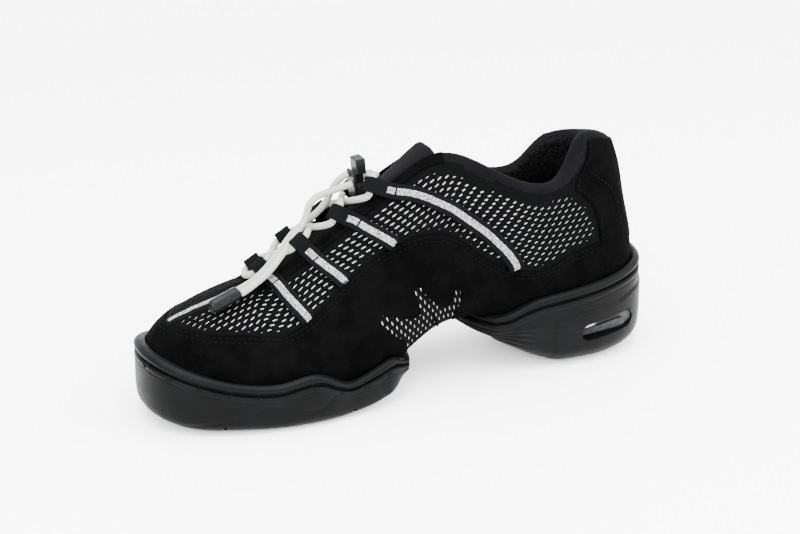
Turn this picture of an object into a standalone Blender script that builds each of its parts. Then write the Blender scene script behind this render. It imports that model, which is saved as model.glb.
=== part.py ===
"""A split-sole dance sneaker as separate solids.

The shoe stands on its two half soles with its toe along +X and the wearer's left along +Y.
The tables give millimetres on the base last, x from the back of the heel; the driving sizes stretch them.
"""
import bpy
import bmesh
import numpy as np

# Driving sizes, in millimetres
MM = 0.001
LENGTH = 266.0
BALL_WIDTH = 96.0
TOP_HEIGHT = 118.0
TOE_SWING = 5.0
WALL = 2.2
SUEDE_STEP = 0.8
CLEARANCE = 0.4
COLLAR_PAD = 3.2
LASTING_MARGIN = 11.0
RIM_THICKNESS = 3.2
INSOLE_THICKNESS = 3.0
TONGUE_THICKNESS = 3.6
LACE_DIAMETER = 3.4

# Sizes of the base last that the tables are drawn on
BASE_LENGTH = 266.0
BASE_BALL_WIDTH = 96.0
BASE_TOP_HEIGHT = 118.0
STRETCH = np.array([LENGTH / BASE_LENGTH, BALL_WIDTH / BASE_BALL_WIDTH, TOP_HEIGHT / BASE_TOP_HEIGHT])

# The upper's wall, one row for each section from the heel round to the toe, both sides alike but for width.
# Each section is a cubic from the feather line, where the wall meets the sole, to its top edge.
SECTION_COLUMNS = ("feather_x", "left", "right", "bed", "top_x", "top_y", "top_z", "drop",
                   "lean", "low_reach", "fan", "dip", "high_reach", "suede", "pad")
SECTIONS = {
    "heel_back":   (7, 0, 0, 28, 20, 0, 110, 0, 12, 30, 180, 80, 32, 0.93, 1.0),
    "heel_corner": (13, 18, 18, 28, 23.6, 13.6, 113.5, 6, 12, 30, 130, 78, 32, 0.93, 1.0),
    "heel_side":   (35, 27, 27, 28, 39.6, 22, 116.3, 12, 13, 28, 95, 80, 28, 0.60, 1.0),
    "collar_dip":  (66, 27, 26, 29, 57, 27, 98, 9, 16, 26, 90, 84, 24, 0.36, 1.0),
    "shank":       (97, 24, 24, 32, 88, 25, 107, 10, 22, 26, 90, 76, 28, 0.42, 1.0),
    "waist":       (122, 27, 28, 29, 114, 17, 118, 9, 24, 28, 90, 60, 34, 0.58, 0.6),
    "instep":      (148, 34, 33, 20, 143, 14, 103, 8, 22, 26, 90, 42, 32, 0.70, 0.0),
    "ball_rear":   (175, 39, 38, 15, 172, 12, 83, 5, 18, 22, 90, 34, 30, 0.68, 0.0),
    "ball":        (200, 40, 38, 14.5, 198, 9, 67, 2, 16, 20, 90, 26, 28, 0.56, 0.0),
    "vamp":        (224, 35, 34, 16.5, 211, 0, 62, 0, 16, 18, 80, 14, 28, 0.55, 0.0),
    "toe_side":    (244, 27, 27, 20, 223, 0, 59, 0, 16, 17, 58, 17, 26, 0.60, 0.0),
    "toe_corner":  (256.5, 15, 15, 23, 232, 0, 56, 0, 16, 17, 28, 19, 21, 0.66, 0.0),
    "toe_tip":     (260, 0, 0, 24, 237, 0, 54, 0, 16, 17, 0, 20, 19, 0.70, 0.0),
}
ROW = {name: number for number, name in enumerate(SECTIONS)}
LAST_ROW = len(SECTIONS) - 1
THROAT_END = ROW["vamp"]


def section_table():
    """The section table as one array for each named column."""
    rows = np.array(list(SECTIONS.values()), float)
    return {name: rows[:, number] for number, name in enumerate(SECTION_COLUMNS)}


def around(values):
    """Takes values from heel to toe and carries them back along the other side, as a closed loop."""
    return np.concatenate([values, values[-2:0:-1]])


def periodic_spline(knots, values, at):
    """Closed cubic spline through the values: knots has one more entry than values, where the loop closes."""
    count = len(values)
    start = knots[:count]
    period = knots[count]
    gap = np.diff(np.append(start, period))
    slope = (np.roll(values, -1, axis=0) - values) / gap[:, None]
    system = np.diag(2 * (gap + np.roll(gap, 1)))
    index = np.arange(count)
    system[index, index - 1] += np.roll(gap, 1)
    system[index, (index + 1) % count] += gap
    bend = np.linalg.solve(system, 6 * (slope - np.roll(slope, 1, axis=0)))
    at = np.mod(at, period)
    here = np.searchsorted(start, at, side="right") - 1
    after = (here + 1) % count
    step = (at - start[here])[:, None]
    width = gap[here][:, None]
    first = slope[here] - width * (2 * bend[here] + bend[after]) / 6
    curve = bend[here] / 2 + step * (bend[after] - bend[here]) / (6 * width)
    return values[here] + step * (first + step * curve)


def upper_controls():
    """Knots round the feather line and the four control points of the wall's cubic at each section."""
    table = section_table()
    side = np.concatenate([np.ones(LAST_ROW + 1), -np.ones(LAST_ROW - 1)])
    column = {name: around(values) for name, values in table.items()}
    across = np.where(side > 0, column["left"], -column["right"])
    feather = np.stack([column["feather_x"], across, column["bed"]], axis=1) * STRETCH
    half_width = (column["left"] + column["right"]) / 2
    middle = np.stack([column["feather_x"], side * half_width], axis=1) * STRETCH[:2]
    closed = np.vstack([middle, middle[:1]])
    knots = np.concatenate([[0.0], np.cumsum(np.linalg.norm(np.diff(closed, axis=0), axis=1))])
    ahead = periodic_spline(knots, feather[:, :2], knots[:-1] + 0.5)
    behind = periodic_spline(knots, feather[:, :2], knots[:-1] - 0.5)
    along = (ahead - behind) / np.linalg.norm(ahead - behind, axis=1)[:, None]
    outward = np.stack([-along[:, 1], along[:, 0], np.zeros(len(along))], axis=1)
    up = np.array([0.0, 0.0, 1.0])
    lean, fan, dip = (np.radians(column[name])[:, None] for name in ("lean", "fan", "dip"))
    rise = outward * np.sin(lean) + up * np.cos(lean)
    top_z = column["top_z"] - np.where(side > 0, 0.0, column["drop"])
    top = np.stack([column["top_x"], side * column["top_y"], top_z], axis=1) * STRETCH
    spread = np.concatenate([np.cos(fan), side[:, None] * np.sin(fan), np.zeros_like(fan)], axis=1)
    fall = spread * np.cos(dip) - up * np.sin(dip)
    low = feather + rise * column["low_reach"][:, None]
    high = top + fall * column["high_reach"][:, None]
    return knots, np.stack([feather, low, high, top], axis=1)


KNOTS, CONTROLS = upper_controls()


def knot_at(rows):
    """Turns row numbers, 0 at the heel, LAST_ROW at the toe, then on along the right, into spline places."""
    return np.interp(rows, np.arange(len(KNOTS)), KNOTS)


def along_loop(name, rows):
    """One table column read smoothly at any row number round the loop."""
    values = around(section_table()[name])[:, None]
    return periodic_spline(KNOTS, values, knot_at(rows))[:, 0]


def swing(points):
    """Bends the front half towards the big toe: the shift in y grows with the square of the way there."""
    bent = points.copy()
    bent[..., 1] += TOE_SWING * np.clip((points[..., 0] - LENGTH / 2) / (LENGTH / 2), 0, None) ** 2
    return bent


def upper_points(rows, shares):
    """Points of the upper's base face: one row number a station; shares[station, k] climbs from 0 to 1."""
    rows = np.asarray(rows, float)
    flat = CONTROLS.reshape(len(CONTROLS), 12)
    control = periodic_spline(KNOTS, flat, knot_at(rows)).reshape(len(rows), 4, 3)
    folded = np.minimum(rows, 2 * LAST_ROW - rows)
    ridge = folded >= THROAT_END
    top = periodic_spline(KNOTS, flat[:, 9:], knot_at(folded[ridge]))
    control[ridge, 3] = top * np.array([1.0, 0.0, 1.0])
    share = np.asarray(shares, float)[..., None]
    weights = ((1 - share) ** 3, 3 * share * (1 - share) ** 2, 3 * share ** 2 * (1 - share), share ** 3)
    return swing(sum(weight * control[:, None, k] for k, weight in enumerate(weights)))


def upper_normals(rows, shares):
    """Outward unit normals of the base face, from small steps along and up it, read just short of the top."""
    rows = np.asarray(rows, float)
    shares = np.minimum(np.asarray(shares, float), 0.97)
    step = 0.02
    lower = np.clip(shares - step, 0, 1)
    higher = np.clip(shares + step, 0, 1)
    climb = upper_points(rows, higher) - upper_points(rows, lower)
    last = 2 * LAST_ROW
    onward = upper_points(np.mod(rows + step, last), shares) - upper_points(np.mod(rows - step, last), shares)
    normal = np.cross(climb, onward)
    return normal / np.maximum(np.linalg.norm(normal, axis=2, keepdims=True), 1e-9)


def full_loop(half_rows):
    """Row numbers for the whole loop from those of the left half, heel to toe."""
    half_rows = np.asarray(half_rows, float)
    return np.concatenate([half_rows, 2 * LAST_ROW - half_rows[-2:0:-1]])


# Mesh helpers


def plain_material(name, colour, roughness, metallic=0.0):
    """A Principled BSDF of one colour."""
    material = bpy.data.materials.new(name)
    material.use_nodes = True
    shader = material.node_tree.nodes["Principled BSDF"]
    shader.inputs["Base Color"].default_value = (*colour, 1.0)
    shader.inputs["Roughness"].default_value = roughness
    shader.inputs["Metallic"].default_value = metallic
    return material


def place(item):
    """Links an object into the scene."""
    bpy.context.scene.collection.objects.link(item)
    return item


SMOOTH_ANGLE = np.radians(40.0)
WELD = 1e-6


def add_solid(name, points, faces, material, origin=(0.0, 0.0, 0.0)):
    """Makes a closed object from points in the last's frame, in millimetres, welding points that coincide."""
    points = (np.asarray(points, float) - origin) * MM
    mesh = bpy.data.meshes.new(name)
    mesh.from_pydata(points.tolist(), [], [list(map(int, face)) for face in faces])
    shape = bmesh.new()
    shape.from_mesh(mesh)
    bmesh.ops.remove_doubles(shape, verts=shape.verts, dist=WELD)
    bmesh.ops.dissolve_degenerate(shape, edges=shape.edges, dist=WELD / 10)
    bmesh.ops.recalc_face_normals(shape, faces=shape.faces)
    shape.to_mesh(mesh)
    shape.free()
    mesh.shade_smooth()
    mesh.set_sharp_from_angle(angle=SMOOTH_ANGLE)
    mesh.materials.append(material)
    item = place(bpy.data.objects.new(name, mesh))
    item.location = np.asarray(origin, float) * MM
    return item


def grid_faces(stations, levels, first=0, closed=True):
    """Quads of a grid whose point number is first + station * levels + level."""
    count = stations if closed else stations - 1
    here = np.arange(count)[:, None]
    onward = (here + 1) % stations
    level = np.arange(levels - 1)[None, :]
    low, low_on = here * levels + level, onward * levels + level
    corners = [np.broadcast_to(c, (count, levels - 1)) for c in (low, low_on, low_on + 1, low + 1)]
    return (np.stack(corners, axis=2) + first).reshape(-1, 4)


def rim_faces(stations, levels, level, second, skip):
    """Quads that join one level of a grid to the same level of a second grid, skipped stations left out."""
    here = np.arange(stations)
    onward = (here + 1) % stations
    keep = ~(skip[here] & skip[onward])
    here = here[keep]
    onward = onward[keep]
    return np.stack([here * levels + level, onward * levels + level,
                     second + onward * levels + level, second + here * levels + level], axis=1)


def cap_across(ring):
    """Faces that close a loop of point numbers straight across, pairing each point with its mirror."""
    count = len(ring)
    half = count // 2
    faces = [(ring[0], ring[1], ring[-1])]
    faces += [(ring[k], ring[k + 1], ring[count - k - 1], ring[count - k]) for k in range(1, half - 1)]
    faces.append((ring[half - 1], ring[half], ring[half + 1]))
    return faces


def cut(item, cutter, operation="DIFFERENCE"):
    """Adds a Boolean of a hidden cutter to an object."""
    cutter.hide_render = True
    cutter.display_type = "WIRE"
    modifier = item.modifiers.new(cutter.name, "BOOLEAN")
    modifier.operation = operation
    modifier.solver = "EXACT"
    modifier.object = cutter


# Upper: one hollow wall, its suede foxing a step in the wall

UPPER_STATIONS = (0, 0.45, 0.95, 1.4, 1.8, 2.1, 2.4, 2.7, 3, 3.3, 3.7, 4.2, 4.7, 5, 5.4, 5.8, 6.1, 6.4, 6.7,
                  7, 7.3, 7.65, 8, 8.4, 8.75, 9, 9.5, 10, 10.5, 11, 11.5, 12)
LOW_SHARES = (0.0, 0.3, 0.65, 1.0)
HIGH_SHARES = (0.0, 0.25, 0.5, 0.72, 0.9, 1.0)
STEP_WIDTH = 0.012
ARCH_REAR = ROW["shank"] - 0.35
ARCH_FRONT = ROW["waist"] + 0.55


def suede_edge(rows):
    """Share of the wall that the suede covers, kept clear of both ends."""
    return np.clip(along_loop("suede", rows), 0.12, 0.94)


def upper_grid(rows):
    """Wall shares at every station, the suede step's height on each level, and the collar's extra pad."""
    edge = suede_edge(rows)[:, None]
    low = np.array(LOW_SHARES)[None, :] * (edge - STEP_WIDTH)
    high = edge + STEP_WIDTH + np.array(HIGH_SHARES)[None, :] * (1 - edge - STEP_WIDTH)
    shares = np.concatenate([low, high], axis=1)
    raised = np.concatenate([np.full_like(low, SUEDE_STEP), np.zeros_like(high)], axis=1)
    raised[:, 0] = 0.0
    near_top = np.clip((shares - 0.55) / 0.35, 0, 1)
    padding = np.clip(along_loop("pad", rows), 0, 1)[:, None] * COLLAR_PAD * near_top * (2 - near_top)
    return shares, raised, padding


def plan_inward(normal):
    """Unit directions level with the floor that point into the shoe."""
    inward = normal * np.array([-1.0, -1.0, 0.0])
    return inward / np.linalg.norm(inward, axis=1, keepdims=True)


def margin_edge(feather, normal, mirror, arch):
    """Where the wall's lasting margin ends under the foot: the middle line at the arch, else a width in."""
    middle = (feather + feather[mirror]) / 2
    edge = np.where(arch[:, None], middle, feather + plan_inward(normal) * LASTING_MARGIN)
    order = np.argsort(feather[:, 0])
    edge[:, 2] = np.interp(edge[:, 0], feather[order, 0], feather[order, 2])
    return edge


def build_upper(material):
    rows = full_loop(UPPER_STATIONS)
    count = len(rows)
    mirror = (-np.arange(count)) % count
    folded = np.minimum(rows, 2 * LAST_ROW - rows)
    arch = (folded > ARCH_REAR) & (folded < ARCH_FRONT)
    ridge = folded >= THROAT_END
    shares, raised, padding = upper_grid(rows)
    base = upper_points(rows, shares)
    normal = upper_normals(rows, shares)
    normal[ridge, -1] = (normal + normal[mirror])[ridge, -1] * np.array([1.0, 0.0, 1.0])
    normal[:, 0, 2] -= 0.6
    normal /= np.linalg.norm(normal, axis=2, keepdims=True)
    outer = base + normal * raised[..., None]
    inner = base - normal * (WALL + padding)[..., None]
    under = margin_edge(base[:, 0], normal[:, 0], mirror, arch)
    inner[:, 0] = base[:, 0] + plan_inward(normal[:, 0]) * WALL + np.array([0.0, 0.0, WALL])
    outer = np.concatenate([under[:, None], outer], axis=1)
    inner = np.concatenate([under[:, None] + np.array([0.0, 0.0, WALL]), inner], axis=1)
    levels = outer.shape[1]
    points = np.concatenate([outer.reshape(-1, 3), inner.reshape(-1, 3)])
    second = count * levels
    faces = np.concatenate([grid_faces(count, levels),
                            grid_faces(count, levels, second)[:, ::-1],
                            rim_faces(count, levels, 0, second, arch),
                            rim_faces(count, levels, levels - 1, second, ridge)])
    return add_solid("upper", points, faces, material)


# Insole: a thin bed on the lasting margin

INSOLE_INSET = 3.4
INSOLE_SLANT = 0.6


def build_insole(material):
    rows = full_loop(UPPER_STATIONS)
    feather = upper_points(rows, np.zeros((len(rows), 1)))[:, 0]
    inward = plan_inward(upper_normals(rows, np.zeros((len(rows), 1)))[:, 0])
    outline = feather + inward * INSOLE_INSET
    floor = WALL + CLEARANCE
    bottom = outline + np.array([0.0, 0.0, floor])
    top = outline + inward * INSOLE_SLANT + np.array([0.0, 0.0, floor + INSOLE_THICKNESS])
    count = len(rows)
    points = np.concatenate([bottom, top])
    ring = np.arange(count)
    side = np.stack([ring, (ring + 1) % count, count + (ring + 1) % count, count + ring], axis=1)
    faces = side.tolist() + cap_across(ring.tolist()) + cap_across((ring + count).tolist())
    return add_solid("insole", points, faces, material)


# Half soles: rings carried round a closed outline, from the tread up the side, over the rim, down the cup

# Columns: row number, height of the rim, lift of the tread above the floor, how far the tread tucks in
FOREFOOT = {
    "rear_corner": (5.8, 21.0, 9.0, 16.0),
    "loop":        (6.1, 25.5, 4.6, 11.0),
    "rear_tread":  (6.5, 22.4, 1.6, 8.5),
    "dip":         (6.95, 19.0, 0.3, 7.0),
    "bump":        (7.65, 27.0, 0.0, 6.0),
    "ball":        (8.45, 24.5, 0.0, 6.0),
    "vamp":        (9.2, 26.5, 0.4, 7.0),
    "toe_side":    (10.2, 32.5, 1.2, 6.5),
    "toe_corner":  (11.2, 37.2, 3.0, 6.5),
    "toe":         (12.0, 38.4, 3.8, 6.5),
}
HEEL = {
    "back":        (0.0, 48.0, 2.0, 8.0),
    "corner":      (1.0, 47.0, 1.4, 8.5),
    "side":        (2.0, 43.0, 0.0, 10.0),
    "middle":      (2.6, 40.8, 0.0, 12.5),
    "shoulder":    (3.05, 38.8, 4.0, 15.0),
    "front":       (3.3, 36.0, 7.2, 17.0),
    "step":        (3.5, 32.8, 9.6, 19.5),
    "nose_side":   (3.7, 31.4, 12.2, 22.0),
}
# Columns: share of the height up to the rim, share of the tuck, how far it stands out
SIDE_RINGS = (
    (0.00, 1.00, 0.0),
    (0.06, 0.45, 0.0),
    (0.17, 0.12, 0.0),
    (0.36, 0.00, 0.7),
    (0.56, 0.00, 0.8),
)
# Columns: height from the rim, how far it stands out
RIM_RINGS = (
    (-9.0, 0.5),
    (-7.6, 0.9),
    (-7.0, -0.7),
    (-5.9, -0.7),
    (-5.2, 0.5),
    (-2.6, 0.6),
    (-0.5, -0.9),
)
CUP_SHARES = (0.98, 0.7, 0.42, 0.18)
CUP_CLEARANCE = 0.55
RIB_RINGS = ((0.025, -1.0), (0.05, 0.0))
FULL_RIM = 24.0
STEEP_TUCK = (10.0, 24.0)
CROSSING_TURN = 0.9


def sole_profile(table, rows):
    """Reads a half sole's rim, lift and tuck at the given row numbers, smoothly between its table rows."""
    values = np.array(list(table.values()), float)
    slopes = np.gradient(values[:, 1:], values[:, 0], axis=0)
    here = np.clip(np.searchsorted(values[:, 0], rows, side="right") - 1, 0, len(values) - 2)
    width = (values[here + 1, 0] - values[here, 0])[:, None]
    part = np.clip((rows - values[here, 0])[:, None] / width, 0, 1)
    start = values[here, 1:]
    change = values[here + 1, 1:] - start
    smooth = (start * (1 + 2 * part) * (1 - part) ** 2
              + slopes[here] * width * part * (1 - part) ** 2
              + (start + change) * part ** 2 * (3 - 2 * part)
              + slopes[here + 1] * width * part ** 2 * (part - 1))
    low = values[:, 1:].min(axis=0)
    high = values[:, 1:].max(axis=0)
    return np.clip(smooth, low, high).T


def sole_outline(half_rows, crossing, bow, turn):
    """The closed outline of a half sole: the feather line of both sides and a bowed line across the foot.

    half_rows run along the left from the middle of the rounded end to the crossing; crossing is the number of
    points across the foot, bow how far the line stands out from straight, turn its outward direction in x.
    """
    half_rows = np.asarray(half_rows, float)
    zero = np.zeros((len(half_rows), 1))
    left = upper_points(half_rows, zero)[:, 0]
    other_rows = np.mod(2 * LAST_ROW - half_rows, 2 * LAST_ROW)
    right = upper_points(other_rows, zero)[:, 0]
    flat = np.array([1.0, 1.0, 0.0])
    out_left = upper_normals(half_rows, zero)[:, 0] * flat
    out_right = upper_normals(other_rows, zero)[:, 0] * flat
    part = np.arange(1, crossing + 1) / (crossing + 1)
    line = left[-1] * (1 - part[:, None]) + right[-1] * part[:, None]
    line[:, 0] += turn * bow * np.sin(np.pi * part)
    sideways = np.cos(np.pi * part)
    facing = np.stack([np.full(crossing, turn * 1.0), sideways ** 3, np.zeros(crossing)], axis=1)
    outline = np.concatenate([left, line, right[:0:-1]])
    outward = np.concatenate([out_left, facing, out_right[:0:-1]])
    corner = [len(half_rows) - 1, len(half_rows) + crossing]
    outward[corner] += np.array([turn * CROSSING_TURN, 0.0, 0.0])
    outward /= np.linalg.norm(outward, axis=1, keepdims=True)
    across = np.zeros(len(outline), bool)
    across[len(half_rows) - 1:len(half_rows) + crossing + 1] = True
    return outline, outward, across


def cup_points(half_rows, crossing, outline, outward, rim, share):
    """The cup's inner face at a share of its height: just outside the upper, or under it at the crossing."""
    rows = np.concatenate([half_rows[:-1], np.mod(2 * LAST_ROW - half_rows[-2:0:-1], 2 * LAST_ROW)])
    climb = np.linspace(0, 1, 80)
    shares = np.broadcast_to(climb, (len(rows), len(climb)))
    wall = upper_points(rows, shares)
    normal = upper_normals(rows, shares)
    count = len(half_rows)
    sides = np.concatenate([np.arange(count - 1), np.arange(count + crossing + 1, len(outline))])
    bed = outline[sides, 2]
    wanted = bed + share * np.maximum(rim[sides] - 0.6 - bed, 0.6)
    at = np.array([np.interp(height, line, climb) for height, line in zip(wanted, wall[..., 2])])
    spot = np.array([[np.interp(a, climb, line[:, k]) for k in range(3)] for a, line in zip(at, wall)])
    lean = np.array([[np.interp(a, climb, line[:, k]) for k in range(3)] for a, line in zip(at, normal)])
    cup = outline + outward * (SUEDE_STEP + CUP_CLEARANCE) - np.array([0.0, 0.0, CLEARANCE])
    cup[sides] = spot + lean * (SUEDE_STEP + CUP_CLEARANCE)
    return cup


def build_half_sole(name, table, half_rows, bow, turn, nose, ribs, material):
    """Rings from the tread's edge to the cup's floor; nose is how far the tread falls back across."""
    half_rows = np.asarray(half_rows, float)
    crossing = CROSSING_POINTS
    outline, outward, across = sole_outline(half_rows, crossing, bow, turn)
    folded = np.minimum(half_rows, 2 * LAST_ROW - half_rows)
    rim, lift, tuck = sole_profile(table, folded)
    middle = np.ones(crossing)
    rim = np.concatenate([rim, middle * 0, rim[:0:-1]])
    lift = np.concatenate([lift, middle * lift[-1], lift[:0:-1]])
    tuck = np.concatenate([tuck, middle * nose, tuck[:0:-1]])
    rim[across] = outline[across, 2] - CLEARANCE
    cups = [cup_points(half_rows, crossing, outline, outward, rim, share) for share in CUP_SHARES]
    reach = np.stack([np.einsum("ij,ij->i", cup - outline, outward) for cup in cups])
    level = np.stack([cup[:, 2] for cup in cups])
    slope = np.interp(tuck, STEEP_TUCK, (0.0, 1.0))
    rings = []

    def stand_at(heights):
        """How far out the side stands at a height: a rim's thickness beyond the cup, at least the rim's."""
        local = [np.interp(height, level[::-1, k], reach[::-1, k]) for k, height in enumerate(heights)]
        return np.maximum(local, reach[0]) + RIM_THICKNESS

    for height, share, out in SIDE_RINGS:
        straight = 1 - height / SIDE_RINGS[-1][0]
        inset = tuck * (share * (1 - slope) + straight * slope)
        stand = stand_at(lift + height * (rim - lift))
        ring = outline + outward * (stand - inset + out * (1 - slope))[:, None]
        ring[:, 2] = lift + height * (rim - lift)
        rings.append(ring)
        if ribs and height > 0:
            for rise, groove in RIB_RINGS:
                ridge = ring + outward * (groove * slope)[:, None]
                ridge[:, 2] = lift + (height + rise) * (rim - lift)
                rings.append(ridge)
    top = rings[-1][:, 2]
    for drop, out in RIM_RINGS:
        top = np.maximum(rim + drop * np.clip((rim - lift) / FULL_RIM, 0.25, 1.0), top + 0.3)
        ring = outline + outward * (stand_at(top) + out)[:, None]
        ring[:, 2] = top
        rings.append(ring)
    rings += cups
    corner = outline + outward * (CUP_CLEARANCE + SUEDE_STEP)
    corner[:, 2] = outline[:, 2] - CLEARANCE
    rings.append(corner)
    grid = np.stack(rings, axis=1)
    stations, levels = grid.shape[:2]
    number = np.arange(stations) * levels
    faces = grid_faces(stations, levels).tolist()
    faces += cap_across(number.tolist())
    faces += cap_across((number + levels - 1).tolist())
    return add_solid(name, grid.reshape(-1, 3), faces, material)


FOREFOOT_REAR = 5.8
HEEL_FRONT = 3.7
CROSSING_POINTS = 5
FOREFOOT_BOW = 5.0
FOREFOOT_NOSE = 20.0
HEEL_BOW = 8.0
HEEL_NOSE = 20.0
FOREFOOT_ROWS = tuple(row for row in reversed(UPPER_STATIONS) if row >= FOREFOOT_REAR)
HEEL_ROWS = tuple(row for row in UPPER_STATIONS if row <= HEEL_FRONT)


def build_soles(material):
    forefoot = build_half_sole("forefoot_sole", FOREFOOT, FOREFOOT_ROWS, FOREFOOT_BOW, -1, FOREFOOT_NOSE,
                               False, material)
    heel = build_half_sole("heel_sole", HEEL, HEEL_ROWS, HEEL_BOW, 1, HEEL_NOSE, True, material)
    return forefoot, heel


# Window in each side of the heel: a slanted pocket with a pale plate at its back

WINDOW_CENTRE = (29.0, 17.0)
WINDOW_LENGTH = 31.0
WINDOW_HEIGHT = 8.0
WINDOW_TILT = np.radians(3.0)
WINDOW_FLOOR = 23.5
PLATE_THICKNESS = 2.5
ROUND_STEPS = 6
BEYOND_SIDE = 60.0


def slot_outline(length, height):
    """A slot with round ends in the x-z plane, tilted up towards the heel's back."""
    radius = height / 2
    turn = np.linspace(-np.pi / 2, np.pi / 2, ROUND_STEPS)
    end = np.stack([length / 2 - radius + radius * np.cos(turn), radius * np.sin(turn)], axis=1)
    loop = np.concatenate([end, -end])
    x = WINDOW_CENTRE[0] + loop[:, 0] * np.cos(WINDOW_TILT) + loop[:, 1] * np.sin(WINDOW_TILT)
    z = WINDOW_CENTRE[1] - loop[:, 0] * np.sin(WINDOW_TILT) + loop[:, 1] * np.cos(WINDOW_TILT)
    return np.stack([x, z], axis=1)


def extrude_across(name, outline, start, end, material):
    """A prism of an x-z outline between two y values."""
    count = len(outline)
    near = np.stack([outline[:, 0], np.full(count, start), outline[:, 1]], axis=1)
    far = np.stack([outline[:, 0], np.full(count, end), outline[:, 1]], axis=1)
    ring = np.arange(count)
    onward = (ring + 1) % count
    faces = np.stack([ring, onward, onward + count, ring + count], axis=1).tolist()
    faces += [ring.tolist(), (ring + count).tolist()[::-1]]
    return add_solid(name, np.concatenate([near, far]), faces, material)


def build_windows(heel, rubber, pale):
    for side, name in ((1, "left"), (-1, "right")):
        slot = slot_outline(WINDOW_LENGTH, WINDOW_HEIGHT)
        floor = side * WINDOW_FLOOR
        cut(heel, extrude_across(f"window_cutter_{name}", slot, floor, side * BEYOND_SIDE, rubber))
        plate = slot_outline(WINDOW_LENGTH - 2 * CLEARANCE, WINDOW_HEIGHT - 2 * CLEARANCE)
        back = side * (WINDOW_FLOOR + CLEARANCE)
        extrude_across(f"heel_window_plate_{name}", plate, back, back + side * PLATE_THICKNESS, pale)


# Flex grooves across the tread of the forefoot

FLEX_GROOVES = (172.0, 236.0)
GROOVE_WIDTH = 2.6
GROOVE_DEPTH = 2.6


def cut_flex_grooves(forefoot, rubber):
    for number, x in enumerate(FLEX_GROOVES):
        box = np.array([(x - GROOVE_WIDTH / 2, -GROOVE_DEPTH), (x + GROOVE_WIDTH / 2, -GROOVE_DEPTH),
                        (x + GROOVE_WIDTH / 2, GROOVE_DEPTH), (x - GROOVE_WIDTH / 2, GROOVE_DEPTH)])
        cut(forefoot, extrude_across(f"flex_cutter_{number}", box, -BEYOND_SIDE, BEYOND_SIDE, rubber))


# Tongue: a padded band under the throat's edges

TONGUE_ROWS = np.linspace(4.95, 8.45, 14)
TONGUE_EDGE = 0.84
TONGUE_POINTS = 9
TONGUE_CROWN = 1.6
CROWN_WIDTH = 22.0
TONGUE_PUFF = 4.6
PUFF_ROWS = 2.0


def opposite(rows):
    """Row numbers of the same sections on the right side."""
    return 2 * LAST_ROW - np.asarray(rows, float)


def under_wall(rows, share, depth):
    """Points a depth below the upper's base face at one share of its height."""
    shares = np.full((len(rows), 1), share)
    return (upper_points(rows, shares) - upper_normals(rows, shares) * depth)[:, 0]


def tongue_line(rows):
    """Five points across the tongue at each section: under both walls, under both throat edges, the crown."""
    padding = np.clip(along_loop("pad", rows), 0, 1) * COLLAR_PAD
    depth = (WALL + padding + 2 * CLEARANCE)[:, None]
    edges = [under_wall(rows, TONGUE_EDGE, depth), under_wall(rows, 1.0, depth)]
    edges += [under_wall(opposite(rows), 1.0, depth), under_wall(opposite(rows), TONGUE_EDGE, depth)]
    puff = np.clip(1 - (rows - TONGUE_ROWS[0]) / PUFF_ROWS, 0, 1)[:, None] ** 2
    width = np.linalg.norm(edges[1] - edges[2], axis=1, keepdims=True)
    rise = TONGUE_CROWN * np.minimum(width / CROWN_WIDTH, 1) + TONGUE_PUFF * puff
    crown = (edges[1] + edges[2]) / 2 + np.array([0.0, 0.0, 1.0]) * rise
    return np.stack([edges[0], edges[1], crown, edges[2], edges[3]], axis=1)


def resample(points, count):
    """Even samples along each row of points, on a smooth curve through them."""
    place_of = np.arange(points.shape[1])
    at = np.linspace(0, points.shape[1] - 1, count)
    here = np.clip(at.astype(int), 0, points.shape[1] - 2)
    part = (at - here)[None, :, None]
    slope = np.gradient(points, place_of, axis=1)
    start, end = points[:, here], points[:, here + 1]
    return (start * (1 + 2 * part) * (1 - part) ** 2 + slope[:, here] * part * (1 - part) ** 2
            + end * part ** 2 * (3 - 2 * part) + slope[:, here + 1] * part ** 2 * (part - 1))


def slab(name, face, thickness, material):
    """A closed sheet: a grid of points and its copy a thickness below it."""
    stations, levels = face.shape[:2]
    along = np.gradient(face, axis=0)
    across = np.gradient(face, axis=1)
    normal = np.cross(across, along)
    normal /= np.linalg.norm(normal, axis=2, keepdims=True)
    points = np.concatenate([face.reshape(-1, 3), (face - normal * thickness).reshape(-1, 3)])
    second = stations * levels
    grid = grid_faces(stations, levels, closed=False)
    number = np.arange(second).reshape(stations, levels)
    edge = np.concatenate([number[0, :], number[1:, -1], number[-1, -2::-1], number[-2:0:-1, 0]])
    onward = np.roll(edge, -1)
    side = np.stack([edge, onward, onward + second, edge + second], axis=1)
    return add_solid(name, points, np.concatenate([grid, grid[:, ::-1] + second, side]), material)


def build_tongue(material):
    return slab("tongue", resample(tongue_line(TONGUE_ROWS), TONGUE_POINTS), TONGUE_THICKNESS, material)


# Lace loops: webbing bands from the throat's edge down the wall, each ending in a round eye for the lace

# Columns: row at the throat, row and share of the wall at the lower end
LOOPS = {
    "1": (8.20, 7.68, 0.59),
    "2": (7.38, 6.95, 0.73),
    "3": (6.68, 6.02, 0.72),
    "4": (6.05, 4.05, 0.56),
}
BAND_WIDTH = 8.0
BAND_THICKNESS = 1.2
BAND_LIFT = SUEDE_STEP + CLEARANCE
EYE_RADIUS = 2.5
EYE_REACH = 4.6
EYE_LIFT = 1.6
BAND_END = EYE_REACH - EYE_RADIUS - 0.1
EYE_SEGMENTS = 14


def loop_path(top_row, low_row, low_share, count=9):
    """Row and share along a loop's band, from the throat's edge down, easing back along the foot."""
    part = np.linspace(0, 1, count)
    return top_row + (low_row - top_row) * part, 1 + (low_share - 1) * np.sin(part * np.pi / 2)


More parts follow.
